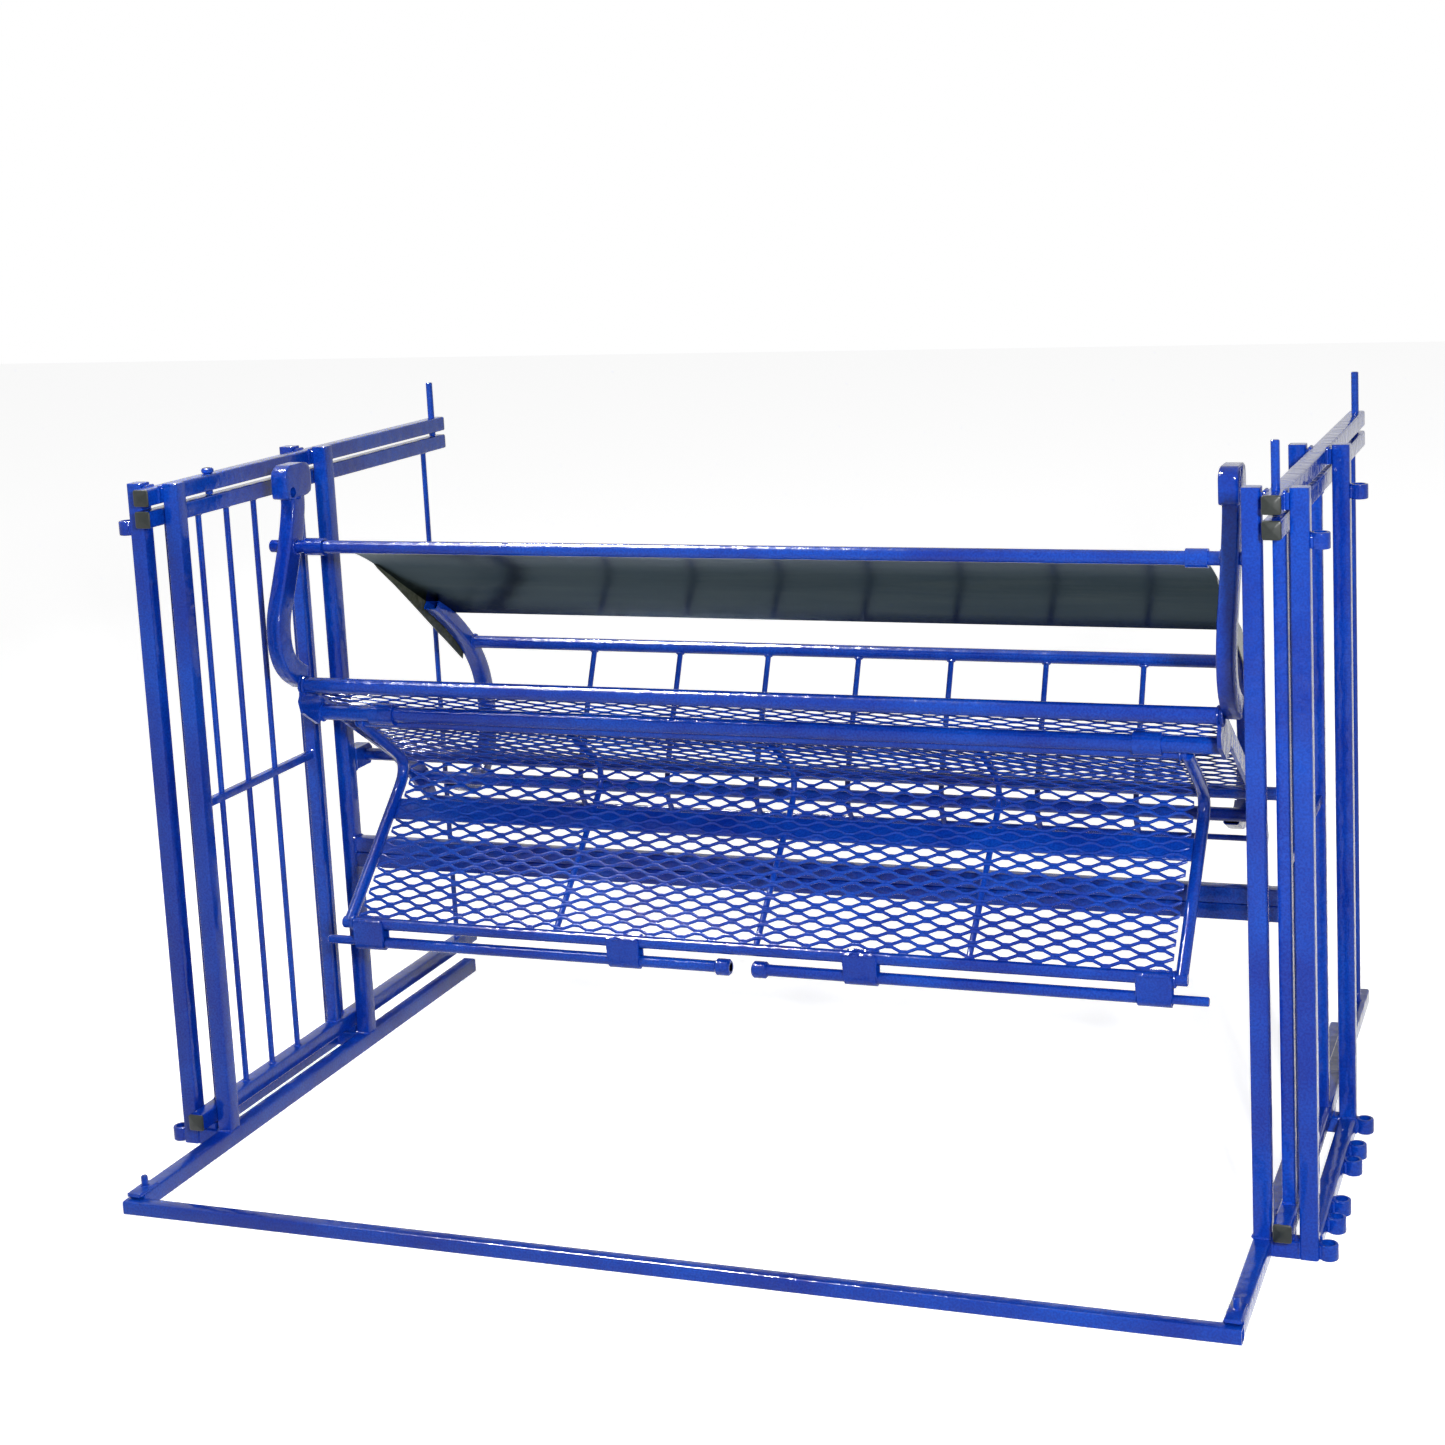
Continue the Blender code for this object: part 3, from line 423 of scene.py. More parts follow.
def sleeve(x, y, z):
    """One upright sleeve, foot at z: a thick round tube with both edges rounded."""
    turn = np.linspace(0, np.pi / 2, 4)
    soft = 0.0018
    rise = np.concatenate([soft - soft * np.sin(turn)[::-1], SLEEVE_H - soft + soft * np.sin(turn)])
    width = np.concatenate([soft - soft * np.cos(turn)[::-1], soft - soft * np.cos(turn)])
    path = np.c_[np.full(8, x), np.full(8, y), z + rise]
    outer = along(path, circle(1.0, 24), (1, 0, 0), SLEEVE_R - width)
    inner = along(path[[0, -1]], circle(SLEEVE_BORE, 24))
    points = np.concatenate([outer, inner[::-1]])
    return points.reshape(-1, 3), grid_faces(*points.shape[:2], wrap_rows=True)


def sleeve_weld(x, y, z, s):
    """The two upright runs of weld that hold a sleeve to the flat face behind it."""
    x = x - s * (SLEEVE_R - 0.0006) + s * 0.0022
    foot, head = z + 0.002, z + SLEEVE_H - 0.002
    return [weld_run([(x, y + t, foot), (x, y + t, head)], 0.0026, (1, 0, 0)) for t in (-0.0085, 0.0085)]


posts, sleeves = [], []
for side, s in SIDES:
    for place in ("front", "rear"):
        inner, outer = "post_%s_%s_inner" % (place, side), "post_%s_%s_outer" % (place, side)
        low, high, middle, size = span(inner)
        posts.append((inner, drawn_tube(low, high, 2, hollow=False)))
        frame_welds.append(bead(square_loop((middle[0], middle[1], low[2]), TUBE, TUBE), 0.0023))
        y, top = middle[1], high[2]
        low, high, middle, size = span(outer)
        near, far = (low[0], low[0] + TUBE) if s > 0 else (high[0] - TUBE, high[0])
        post_low, post_high = np.array([near, y - TUBE / 2, 0.0]), np.array([far, y + TUBE / 2, top])
        posts.append((outer, drawn_tube(post_low, post_high, 2, hollow=False)))
        x = (high[0] if s > 0 else low[0]) - s * SLEEVE_R
        for z in (top - SLEEVE_BELOW_TOP, SLEEVE_FOOT):
            sleeves.append(sleeve(x, y, z))
            frame_welds += sleeve_weld(x, y, z, s)
for name, shell in posts:
    made_of(name + "_tube", "frame", blue_enamel, [shell], [name])

rails = []
for side, s in SIDES:
    low, high, middle, size = span("outer_rail_" + side)
    near, far = (low[0], low[0] + TUBE) if s > 0 else (high[0] - TUBE, high[0])
    rails.append(drawn_tube(np.array([near, low[1], 0.0]), np.array([far, high[1], TUBE]), 1))
    x = (high[0] if s > 0 else low[0]) - s * SLEEVE_R
    for offset in RAIL_SLEEVES:
        y = cad_box[0][1] + offset
        sleeves.append(sleeve(x, y, SLEEVE_FOOT))
        frame_welds += sleeve_weld(x, y, SLEEVE_FOOT, s)
    for y in (low[1], high[1]):
        arch = [(near, y, 0.003), (near, y, TUBE), (far, y, TUBE), (far, y, 0.003)]
        frame_welds.append(weld_run(arch, 0.0022, (0, 1, 0)))
    for place in ("front", "rear"):
        low, high, middle, size = span("foot_%s_%s" % (place, side))
        rails.append(drawn_tube(low, np.array([high[0], high[1], TUBE]), 0))
        # the skid on the foot that the gate's lower rail slides over
        skid_low = np.array([middle[0] - 0.012, middle[1] - 0.0087, TUBE - 0.001])
        skid_high = np.array([middle[0] + 0.012, middle[1] + 0.0087, high[2]])
        rails.append(drawn_tube(skid_low, skid_high, 0, hollow=False, radius=0.002))
        for x in (low[0], high[0]):
            arch = [(x, low[1], 0.003), (x, low[1], TUBE), (x, high[1], TUBE), (x, high[1], 0.003)]
            frame_welds.append(weld_run(arch, 0.0021, (1, 0, 0)))
made_of("outer_rails_and_feet", "frame", blue_enamel, rails,
        ["outer_rail_left", "outer_rail_right", "foot_front_left", "foot_front_right", "foot_rear_left",
         "foot_rear_right"])
made_of("connector_sleeves", "frame", blue_enamel, sleeves)

# ---------------- top rails and their end plugs
# A fixed rail lies in each slot, flush with the post tops, and the gate's own rail runs under it. The sawn
# ends are closed with black polyethylene plugs: a rim that covers the wall, and a shallow dome inside it.
black_plug, tree, out = blank_material("moulded_black_polyethylene")
where = node(tree, "ShaderNodeTexCoord").outputs["Object"]
sheen = node(tree, "ShaderNodeTexNoise", {"Scale": 1000 / 6.0, "Detail": 3.0}, Vector=where)
dull = node(tree, "ShaderNodeMapRange", {"To Min": 0.28, "To Max": 0.45}, Value=sheen.outputs["Fac"])
ink = node(tree, "ShaderNodeValToRGB", Fac=sheen.outputs["Fac"])
ink.color_ramp.elements[0].color, ink.color_ramp.elements[1].color = linear("0E1412"), linear("1C2622")
fine = node(tree, "ShaderNodeTexNoise", {"Scale": 1000 / 1.2, "Detail": 2.0}, Vector=where)
pebbled = node(tree, "ShaderNodeBump", {"Strength": 0.3, "Distance": 0.0002}, Height=fine.outputs["Fac"])
plastic = node(tree, "ShaderNodeBsdfPrincipled", {"IOR": 1.51}, Roughness=dull.outputs[0],
               Normal=pebbled.outputs["Normal"])
tree.links.new(ink.outputs["Color"], plastic.inputs["Base Color"])
tree.links.new(plastic.outputs[0], out.inputs["Surface"])


def end_plug(low, high, s):
    """Plug for the end of a rail along Y. s is -1 at the front end and 1 at the rear one. Its outline is the
    rail's own, and its face rises as a quarter wave towards the middle."""
    width, height = high[0] - low[0], high[2] - low[2]
    y = low[1] if s < 0 else high[1]
    outline = rounded_square(width, height, 0.0032)
    rim = np.array([0.0, 0.0016, 0.0024, 0.0026, 0.0040, 0.0046])
    scale = np.array([1.0, 1.0, 0.93, 0.82, 0.55, 0.12])
    path = np.c_[np.full(6, (low[0] + high[0]) / 2), y + s * rim, np.full(6, (low[2] + high[2]) / 2)]
    points = along(path, outline[::-1] if s < 0 else outline, (1, 0, 0), scale)
    return points.reshape(-1, 3), grid_faces(*points.shape[:2]) + end_faces(*points.shape[:2])


for side, s in SIDES:
    low, high, middle, size = span("top_rail_" + side)
    slot_low, slot_high = low[0], high[0]
    low[0], high[0] = middle[0] - TUBE / 2, middle[0] + TUBE / 2
    shells = [drawn_tube(low, high, 1)]
    # packing plates close the rest of the slot at each pair of posts, and carry the rail
    for place in ("front", "rear"):
        post_low, post_high = span("post_%s_%s_inner" % (place, side))[:2]
        for x_low, x_high in ((slot_low, low[0]), (high[0], slot_high)):
            plate_low = np.array([x_low, post_low[1] + 0.002, low[2] + 0.002])
            plate_high = np.array([x_high, post_high[1] - 0.002, high[2] - 0.001])
            shells.append(drawn_tube(plate_low, plate_high, 1, hollow=False, radius=0.0008))
    made_of("fixed_rail_" + side, "frame", blue_enamel, shells, ["top_rail_" + side])
    plugs = [end_plug(low, high, t) for t in (-1, 1)]
    made_of("fixed_rail_plugs_" + side, "frame", black_plug, plugs)
    # runs of weld along the slot, where the rail meets each post
    for place in ("front", "rear"):
        post_low, post_high = span("post_%s_%s_inner" % (place, side))[:2]
        for x in (low[0], high[0]):
            on_top = [(x, post_low[1] + 0.001, high[2]), (x, post_high[1] - 0.001, high[2])]
            in_front = [(x, post_low[1] - 0.001, low[2] + 0.002), (x, post_low[1] - 0.001, high[2])]
            frame_welds.append(weld_run(on_top, 0.0024, (1, 0, 0)))
            frame_welds.append(weld_run(in_front, 0.0022, (1, 0, 0)))

# ---------------- sliding gates
# Each gate is two rails of square tube held apart by a grille: two square stiles, three round rods and one
# flat middle bar close the front half, and a single rod stands near the end of the open half.
GATE_STILE = 0.0190
GATE_ROD_R = 0.0047
GATE_RODS = (0.3695, 0.4475, 0.5265)    # from the front of the crate
GATE_MID_Z = 0.536
GATE_MID_H = 0.0127

for side, s in SIDES:
    body = "gate_" + side
    shells, plugs, welds = [], [], []
    for part in ("gate_top_", "gate_bottom_"):
        low, high, middle, size = span(part + side)
        low[0], high[0] = middle[0] - TUBE / 2, middle[0] + TUBE / 2
        shells.append(drawn_tube(low, high, 1))
        plugs += [end_plug(low, high, t) for t in (-1, 1)]
    made_of("gate_rails_" + side, body, blue_enamel, shells, ["gate_top_" + side, "gate_bottom_" + side])
    made_of("gate_plugs_" + side, body, black_plug, plugs)
    low, high, middle, size = span("gate_grille_" + side)
    bars = []
    for y in (low[1] + GATE_STILE / 2, high[1] - GATE_STILE / 2):
        stile_low = np.array([middle[0] - GATE_STILE / 2, y - GATE_STILE / 2, low[2]])
        stile_high = np.array([middle[0] + GATE_STILE / 2, y + GATE_STILE / 2, high[2]])
        bars.append(drawn_tube(stile_low, stile_high, 2, hollow=False, radius=0.0022))
        for z in (low[2], high[2]):
            welds.append(bead(square_loop((middle[0], y, z), GATE_STILE, GATE_STILE), 0.0020))
    rod_places = [cad_box[0][1] + offset for offset in GATE_RODS]
    for y in rod_places:
        bars.append(upright(middle[0], y, low[2], high[2], GATE_ROD_R, 14))
    flat_low = np.array([middle[0] - GATE_MID_H / 2, low[1] + GATE_STILE, GATE_MID_Z - GATE_MID_H / 2])
    flat_high = np.array([middle[0] + GATE_MID_H / 2, high[1] - GATE_STILE, GATE_MID_Z + GATE_MID_H / 2])
    bars.append(drawn_tube(flat_low, flat_high, 1, hollow=False, radius=0.0015))
    for y in (flat_low[1], flat_high[1]):
        ring = rounded_square(GATE_MID_H, GATE_MID_H)
        joint = np.c_[ring[:, 0] + middle[0], np.full(len(ring), y), ring[:, 1] + GATE_MID_Z]
        welds.append(bead(joint, 0.0016, (0, 1, 0)))
    made_of("gate_bars_" + side, body, blue_enamel, bars, ["gate_grille_" + side])
    low, high, middle, size = span("gate_end_rod_" + side)
    far_rod = upright(middle[0], middle[1], low[2], high[2], GATE_ROD_R, 14)
    made_of("gate_far_rod_" + side, body, blue_enamel, [far_rod], ["gate_end_rod_" + side])
    for y in rod_places + [middle[1]]:
        for z in (low[2], high[2]):
            welds.append(bead(level_ring(middle[0], y, z, GATE_ROD_R + 0.0008), 0.0017))
    made_of("gate_welds_" + side, body, blue_enamel, welds)

# ---------------- drop pins
# Lengths of round bar that drop through both rails and hold a gate where it is. The three long ones stand
# drawn up; the left front one is pushed home, and shows only its head.
PIN_R = 0.0060
PIN_HEAD_H = 0.0085

for side, s in SIDES:
    for place in ("front", "rear"):
        low, high, middle, size = span("pin_%s_%s" % (place, side))
        shells = [upright(middle[0], middle[1], low[2], high[2], PIN_R, soft=0.0014)]
        if size[0] > 2 * PIN_R + 0.001:
            head_r = size[0] / 2
            shells.append(upright(middle[0], middle[1], high[2] - PIN_HEAD_H, high[2], head_r, soft=0.0022))
        made_of("drop_pin_%s_%s" % (place, side), "pin_%s_%s_body" % (place, side), blue_enamel, shells,
                ["pin_%s_%s" % (place, side)])

# ---------------- rest beams and bearing lugs
# Two square tubes, one on the other, are welded across between the rear posts for the cradle to come to rest
# on. A thick flame-cut lug on the back of each rear post carries the end of the pivot shaft.
shells = []
for name in ("rest_beam_upper", "rest_beam_lower"):
    low, high, middle, size = span(name)
    shells.append(drawn_tube(low, high, 0))
    for x in (low[0], high[0]):
        ring = rounded_square(TUBE, TUBE)
        joint = np.c_[np.full(len(ring), x), ring + (middle[1], middle[2])]
        frame_welds.append(bead(joint, 0.0022, (1, 0, 0)))
made_of("rest_beams", "frame", blue_enamel, shells, ["rest_beam_upper", "rest_beam_lower"])


def enamelled(name):
    """A node of the frame that is shown as it is, in the blue enamel."""
    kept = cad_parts[name]
    kept.data.materials.clear()
    kept.data.materials.append(blue_enamel)


for side, s in SIDES:
    enamelled("pivot_lug_" + side)
    low, high, middle, size = span("pivot_lug_" + side)
    frame_welds.append(bead([(low[0], low[1], low[2]), (low[0], low[1], high[2]), (high[0], low[1], high[2]),
                             (high[0], low[1], low[2])], 0.0024, (0, 1, 0)))
made_of("frame_welds", "frame", blue_enamel, frame_welds)

# ---------------- cradle arms and keepers
# The cradle's two ends are square tube pressed to a flat S, open at the low end. A solid block is driven over
# each upper end and welded, and the floor bolt shoots into its hole when the floor is shut.
FRONT_Y = cad_box[0][1]
ARM_X = span("arm_right")[2][0]
ARM_W = span("arm_right")[3][0]
ARM_DEPTH = 0.0360
ARM_PATH = ((0.4880, 0.9980), (0.4880, 0.9860), (0.4820, 0.9620), (0.4690, 0.9230), (0.4380, 0.8550),
            (0.4230, 0.8250), (0.4175, 0.8020), (0.4170, 0.7820), (0.4190, 0.7620), (0.4265, 0.7430),
            (0.4380, 0.7285), (0.4520, 0.7170), (0.4720, 0.7050))
KEEPER_OUTLINE = ((0.4560, 1.0010), (0.4600, 0.9985), (0.5250, 0.9985), (0.5330, 1.0060), (0.5330, 1.0440),
                  (0.5220, 1.0520), (0.4690, 1.0520), (0.4560, 1.0420))
KEEPER_HOLE = (0.4738, 1.0088)
KEEPER_HOLE_R = 0.0084


def bent(line, x=None, rounds=3):
    """A line of (y, z) points, from the crate's front and the ground, with its corners cut by quarters again
    and again until it is a curve; both ends stay. With x it is a path in space."""
    line = np.asarray(line, float)
    for _ in range(rounds):
        first = 0.75 * line[:-1] + 0.25 * line[1:]
        second = 0.25 * line[:-1] + 0.75 * line[1:]
        line = np.concatenate([line[:1], np.stack([first, second], axis=1).reshape(-1, 2)[1:-1], line[-1:]])
    line = line + (FRONT_Y, 0.0)
    return line if x is None else np.c_[np.full(len(line), x), line]


def star(outline, centre, steps):
    """An outline resampled at equal angles seen from centre, so that it can be paired with a round hole."""
    outline = np.asarray(outline, float) - centre
    angle = np.arange(steps) * 2 * np.pi / steps
    a, b = outline[None], np.roll(outline, -1, 0)[None]
    ray = np.stack([np.cos(angle), np.sin(angle)], axis=1)[:, None]
    edge = b - a
    cross = ray[..., 0] * edge[..., 1] - ray[..., 1] * edge[..., 0]
    cross = np.where(np.abs(cross) < 1e-12, 1e-12, cross)
    reach = (a[..., 0] * edge[..., 1] - a[..., 1] * edge[..., 0]) / cross
    share = (a[..., 0] * ray[..., 1] - a[..., 1] * ray[..., 0]) / cross
    hit = np.where((share >= -1e-9) & (share <= 1 + 1e-9) & (reach > 0), reach, np.inf).min(axis=1)
    return ray[:, 0] * hit[:, None]


cradle_welds = []
for side, s in SIDES:
    path = bent(ARM_PATH, s * ARM_X)
    # the front face keeps its line, and the tube's greater depth lies behind it
    run = unit(np.gradient(path, axis=0))
    path = path + np.c_[np.zeros(len(path)), -run[:, 2], run[:, 1]] * (ARM_DEPTH - ARM_W) / 2
    shells = [pipe(path, rounded_square(ARM_W, ARM_DEPTH, 0.0042),
                   rounded_square(ARM_W - 0.005, ARM_DEPTH - 0.005, 0.002))]
    made_of("cradle_arm_" + side, "cradle", blue_enamel, shells, ["arm_" + side])
    low, high, middle, size = span("keeper_" + side)
    rough = star(KEEPER_OUTLINE, KEEPER_HOLE, 64)
    smooth = (rough + np.roll(rough, 1, 0) + np.roll(rough, -1, 0)) / 3
    centre = np.array([0.0, FRONT_Y + KEEPER_HOLE[0], KEEPER_HOLE[1]])
    inset = 0.0022
    edge, near_edge = 1 - inset / 0.022, 1 - 0.4 * inset / 0.022
    stations = ((low[0], edge), (low[0] + 0.0006, near_edge), (low[0] + inset, 1.0),
                (high[0] - inset, 1.0), (high[0] - 0.0006, near_edge), (high[0], edge))
    outer = np.stack([np.c_[np.full(64, x), smooth * k] + centre for x, k in stations])
    hole = np.stack([np.c_[np.full(64, x), circle(KEEPER_HOLE_R, 64)] + centre for x in (high[0], low[0])])
    points = np.concatenate([outer, hole])
    made_of("keeper_block_" + side, "cradle", blue_enamel,
            [(points.reshape(-1, 3), grid_faces(*points.shape[:2], wrap_rows=True))], ["keeper_" + side])
    cradle_welds.append(bead(square_loop((s * ARM_X, FRONT_Y + 0.4880, low[2]), ARM_W, ARM_W), 0.0024))
    low, high, middle, size = span("arm_stub_" + side)
    stub = crossbar(low[0], high[0], middle[1:], size[1] / 2, soft=0.0012)
    made_of("stub_" + side, "cradle", blue_enamel, [stub], ["arm_stub_" + side])

# ---------------- cradle tubes
# Four round tubes run from arm to arm or from rib to rib: the front tube that the squeeze side hangs on, the
# low tube under the opening, the tube that the floor is hinged on, and the pivot shaft in its lugs.
LOW_TUBE_R = 0.0127
PIVOT_R = 0.0105
SLEEVE_ON_TUBE = 0.0108         # bore of the squeeze side's sleeves

for name in ("front_tube", "low_tube", "hinge_tube", "pivot_shaft"):
    low, high, middle, size = span(name)
    ends = [(low[0], middle[1], middle[2]), (high[0], middle[1], middle[2])]
    made_of(name + "_pipe", "cradle", blue_enamel,
            [pipe(ends, circle(size[1] / 2, 28), circle(size[1] / 2 - TUBE_WALL, 28), (0, 1, 0))], [name])
    if name != "pivot_shaft":
        for x in (low[0], high[0]):
            cradle_welds.append(bead(upright_ring(x, middle[1:], size[1] / 2 + 0.0008), 0.0023, (1, 0, 0)))
for side, s in SIDES:
    # the squeeze side's hinge sleeves turn on the front tube
    low, high, middle, size = span("squeeze_barrel_" + side)
    ends = [(low[0], middle[1], middle[2]), (high[0], middle[1], middle[2])]
    made_of("squeeze_hinge_sleeve_" + side, "squeeze", blue_enamel,
            [pipe(ends, circle(size[1] / 2, 28), circle(SLEEVE_ON_TUBE, 28), (0, 1, 0))],
            ["squeeze_barrel_" + side])
    enamelled("end_rib_" + side)
    face = span("end_rib_" + side)[0][0] if s > 0 else span("end_rib_" + side)[1][0]
    for name, radius in (("low_tube", LOW_TUBE_R), ("pivot_shaft", PIVOT_R)):
        joint = upright_ring(face, span(name)[2][1:], radius + 0.0012)
        cradle_welds.append(bead(joint, 0.0022, (1, 0, 0)))

# ---------------- expanded metal of the table wall
# Carbon steel sheet, slit and stretched to diamonds 50.8 mm long and 23.4 mm high. Every strand zigzags
# along the crate, and is one with the next strand at each bond. It is dipped in the same enamel.
DIAMOND_LONG = 0.0508
DIAMOND_HIGH = 0.0234
STRAND_W = 0.0056
STRAND_T = 0.0026
STRAND_TILT = 0.42      # radians that stretching turns a strand out of the sheet
BOND_SHARE = 0.20       # of a half diamond, to each side of a bond's middle
BOND_LAP = 0.80         # of a strand's width that neighbours share at a bond
MESH_SHARP = 50         # degrees


def expanded_metal(line, x_low, x_high):
    """Strands of expanded metal over a bent sheet. Strand k runs at height (k + 1/2) * DIAMOND_HIGH / 2 along
    the line, plus or minus half the opening, changing sides every half diamond; the odd ones are the even
    ones turned over. A strand's section is a small rounded oblong, tilted."""
    step = np.linalg.norm(np.diff(line, axis=0), axis=1)
    travel = np.concatenate([[0], np.cumsum(step)])
    tangent = unit(np.gradient(line, travel, axis=0))
    strands = max(int(round(travel[-1] / (DIAMOND_HIGH / 2))), 2)
    pitch = travel[-1] / strands
    swing = (pitch - BOND_LAP * STRAND_W) / 2
    halves = int(round((x_high - x_low) / (DIAMOND_LONG / 2)))
    half = (x_high - x_low) / halves
    bond = BOND_SHARE * half
    x = (x_low + np.arange(halves + 1)[:, None] * half + np.array([-bond, bond])).ravel()[1:-1]
    sign = np.repeat((-1.0) ** np.arange(halves + 1), 2)[1:-1]
    section = rounded_square(STRAND_W, STRAND_T, 0.0010, 1)
    cos_tilt, sin_tilt = np.cos(STRAND_TILT), np.sin(STRAND_TILT)
    section = section @ np.array([[cos_tilt, sin_tilt], [-sin_tilt, cos_tilt]])
    k = np.arange(strands)[:, None]
    height = (k + 0.5) * pitch + swing * sign * (-1.0) ** k
    along_line = height[..., None] + section[:, 0]
    off_line = np.broadcast_to(section[:, 1], along_line.shape)
    at = np.clip(along_line, 0, travel[-1])
    y, z, ty, tz = (np.interp(at, travel, values) for values in (*line.T, *tangent.T))
    across = np.broadcast_to(x[None, :, None], y.shape)
    points = np.stack([across, y - tz * off_line, z + ty * off_line], axis=-1)
    faces = grid_faces(*points.shape[1:3]) + end_faces(*points.shape[1:3])
    return [(strand.reshape(-1, 3), faces) for strand in points]


low, high, middle, size = span("table_mesh")
table_line = np.linspace(np.array([low[1], high[2]]), np.array([high[1], low[2]]), 12)
made_of("table_expanded_metal", "cradle", blue_enamel, expanded_metal(table_line, low[0], high[0]),
        ["table_mesh"], MESH_SHARP)

# ---------------- back grid and bows
# Seven round rods are welded between the top tube and the rear tube, and run on to a thin stay rod below. At
# each end a bow of square tube sweeps from under the squeeze sheet round to the rear tube.
TOP_TUBE = (0.9250, 0.6750)
REAR_TUBE = (0.8200, 0.4540)
STAY = (0.8480, 0.4080)
STAY_R = 0.0048
BACK_TUBE_R = 0.0110
BACK_ROD_R = 0.0047
BACK_ROD_FIRST = -0.437
BACK_ROD_PITCH = 0.1613
BACK_RODS = 7
BOW_X = 0.6830
BOW_W = 0.0254
BOW_PATH = ((0.8010, 0.7690), (0.8235, 0.7545), (0.8765, 0.7170), (0.9225, 0.6760), (0.9465, 0.6450),
            (0.9640, 0.6150), (0.9740, 0.5800), (0.9790, 0.5400), (0.9770, 0.5000), (0.9650, 0.4650),
            (0.9420, 0.4360), (0.9120, 0.4220), (0.8800, 0.4240), (0.8310, 0.4470))

# the squeeze sheet's own line, which the bows' upper ends are cut to
SHEET_LINE = ((0.4886, 0.9200), (0.5300, 0.9110), (0.5650, 0.9005), (0.6000, 0.8870), (0.6400, 0.8680),
              (0.6800, 0.8450), (0.7200, 0.8210), (0.7600, 0.7980), (0.8030, 0.7735), (0.8640, 0.7400))
sheet_line = bent(SHEET_LINE)

grid_low, grid_high = span("back_grid")[:2]
top_place, rear_place, stay_place = ((FRONT_Y + y, z) for y, z in (TOP_TUBE, REAR_TUBE, STAY))
bow_in = BOW_X - BOW_W / 2
shells = [crossbar(-bow_in, bow_in, top_place, BACK_TUBE_R),
          crossbar(grid_low[0], grid_high[0], rear_place, BACK_TUBE_R),
          crossbar(grid_low[0], grid_high[0], stay_place, STAY_R, 14)]
rod_run = unit(np.array(REAR_TUBE) - np.array(TOP_TUBE))
for i in range(BACK_RODS):
    x = BACK_ROD_FIRST + BACK_ROD_PITCH * i
    shells.append(bar(bent((TOP_TUBE, REAR_TUBE, STAY), x, 2), circle(BACK_ROD_R, 14)))
    # a ring of weld round the rod where it leaves each tube's wall
    for place, away in ((top_place, 1), (rear_place, -1)):
        out_y, out_z = away * rod_run
        centre = np.array([x, place[0] + out_y * BACK_TUBE_R, place[1] + out_z * BACK_TUBE_R])
        around = np.array([0.0, -out_z, out_y])
        angle = np.arange(12)[:, None] * np.pi / 6
        turned = np.cos(angle) * np.array([1.0, 0, 0]) + np.sin(angle) * around
        cradle_welds.append(bead(centre + (BACK_ROD_R + 0.0012) * turned, 0.0020, (0.0, out_y, out_z)))
made_of("back_grid_bars", "cradle", blue_enamel, shells, ["back_grid"])
for side, s in SIDES:
    path = bent(BOW_PATH, s * BOW_X)
    points, faces = pipe(path, rounded_square(BOW_W, BOW_W, 0.0040),
                         rounded_square(BOW_W - 0.0042, BOW_W - 0.0042, 0.002))
    # its upper end is scarfed: nothing of it stands above the underside of the sheet
    sheet_z = np.interp(points[:, 1], sheet_line[:, 0], sheet_line[:, 1] - 0.0013)
    points[:, 2] = np.where(points[:, 1] < sheet_line[-1, 0], np.minimum(points[:, 2], sheet_z), points[:, 2])
    made_of("bow_bar_" + side, "cradle", blue_enamel, [(points, faces)], ["bow_" + side])
    cradle_welds.append(bead(upright_ring(s * bow_in, top_place, BACK_TUBE_R + 0.001), 0.0028, (1, 0, 0)))
made_of("cradle_welds", "cradle", blue_enamel, cradle_welds)

# ---------------- squeeze sheet
# One piece of thin mild steel sheet, left in its dark oiled mill finish. It is rolled a little towards the
# back, hung on the front tube, and its ends are folded down over the outsides of the bows.
bare_sheet, tree, out = blank_material("oiled_mill_finish_steel")
where = node(tree, "ShaderNodeTexCoord").outputs["Object"]
stretch = node(tree, "ShaderNodeMapping", {"Scale": (1.0, 7.0, 7.0)}, Vector=where)
cloud = node(tree, "ShaderNodeTexNoise", {"Scale": 1000 / 190.0, "Detail": 5.0, "Roughness": 0.6},
             Vector=stretch.outputs[0])
mottle = node(tree, "ShaderNodeTexNoise", {"Scale": 1000 / 9.0, "Detail": 4.0, "Roughness": 0.7},
              Vector=where)
scale_tone = node(tree, "ShaderNodeValToRGB", Fac=cloud.outputs["Fac"])
scale_tone.color_ramp.elements[0].position, scale_tone.color_ramp.elements[0].color = 0.3, linear("272B28")
scale_tone.color_ramp.elements[1].position, scale_tone.color_ramp.elements[1].color = 0.7, linear("3A3D36")
fleck = node(tree, "ShaderNodeValToRGB", Fac=mottle.outputs["Fac"])
fleck.color_ramp.elements[0].position, fleck.color_ramp.elements[0].color = 0.35, linear("C4C6BA")
fleck.color_ramp.elements[1].position, fleck.color_ramp.elements[1].color = 0.65, linear("FFFFFF")
skin = node(tree, "ShaderNodeMix", {"data_type": "RGBA", "blend_type": "MULTIPLY"})
skin.inputs["Factor"].default_value = 1.0
tree.links.new(scale_tone.outputs["Color"], skin.inputs["A"])
tree.links.new(fleck.outputs["Color"], skin.inputs["B"])
haze = node(tree, "ShaderNodeMapRange", {"To Min": 0.16, "To Max": 0.30}, Value=mottle.outputs["Fac"])
wave = node(tree, "ShaderNodeBump", {"Strength": 0.25, "Distance": 0.0012}, Height=cloud.outputs["Fac"])
metal = node(tree, "ShaderNodeBsdfPrincipled", {"Metallic": 1.0, "Specular Tint": linear("BCC4CC")},
             Roughness=haze.outputs[0], Normal=wave.outputs["Normal"])
tree.links.new(skin.outputs["Result"], metal.inputs["Base Color"])
tree.links.new(metal.outputs[0], out.inputs["Surface"])

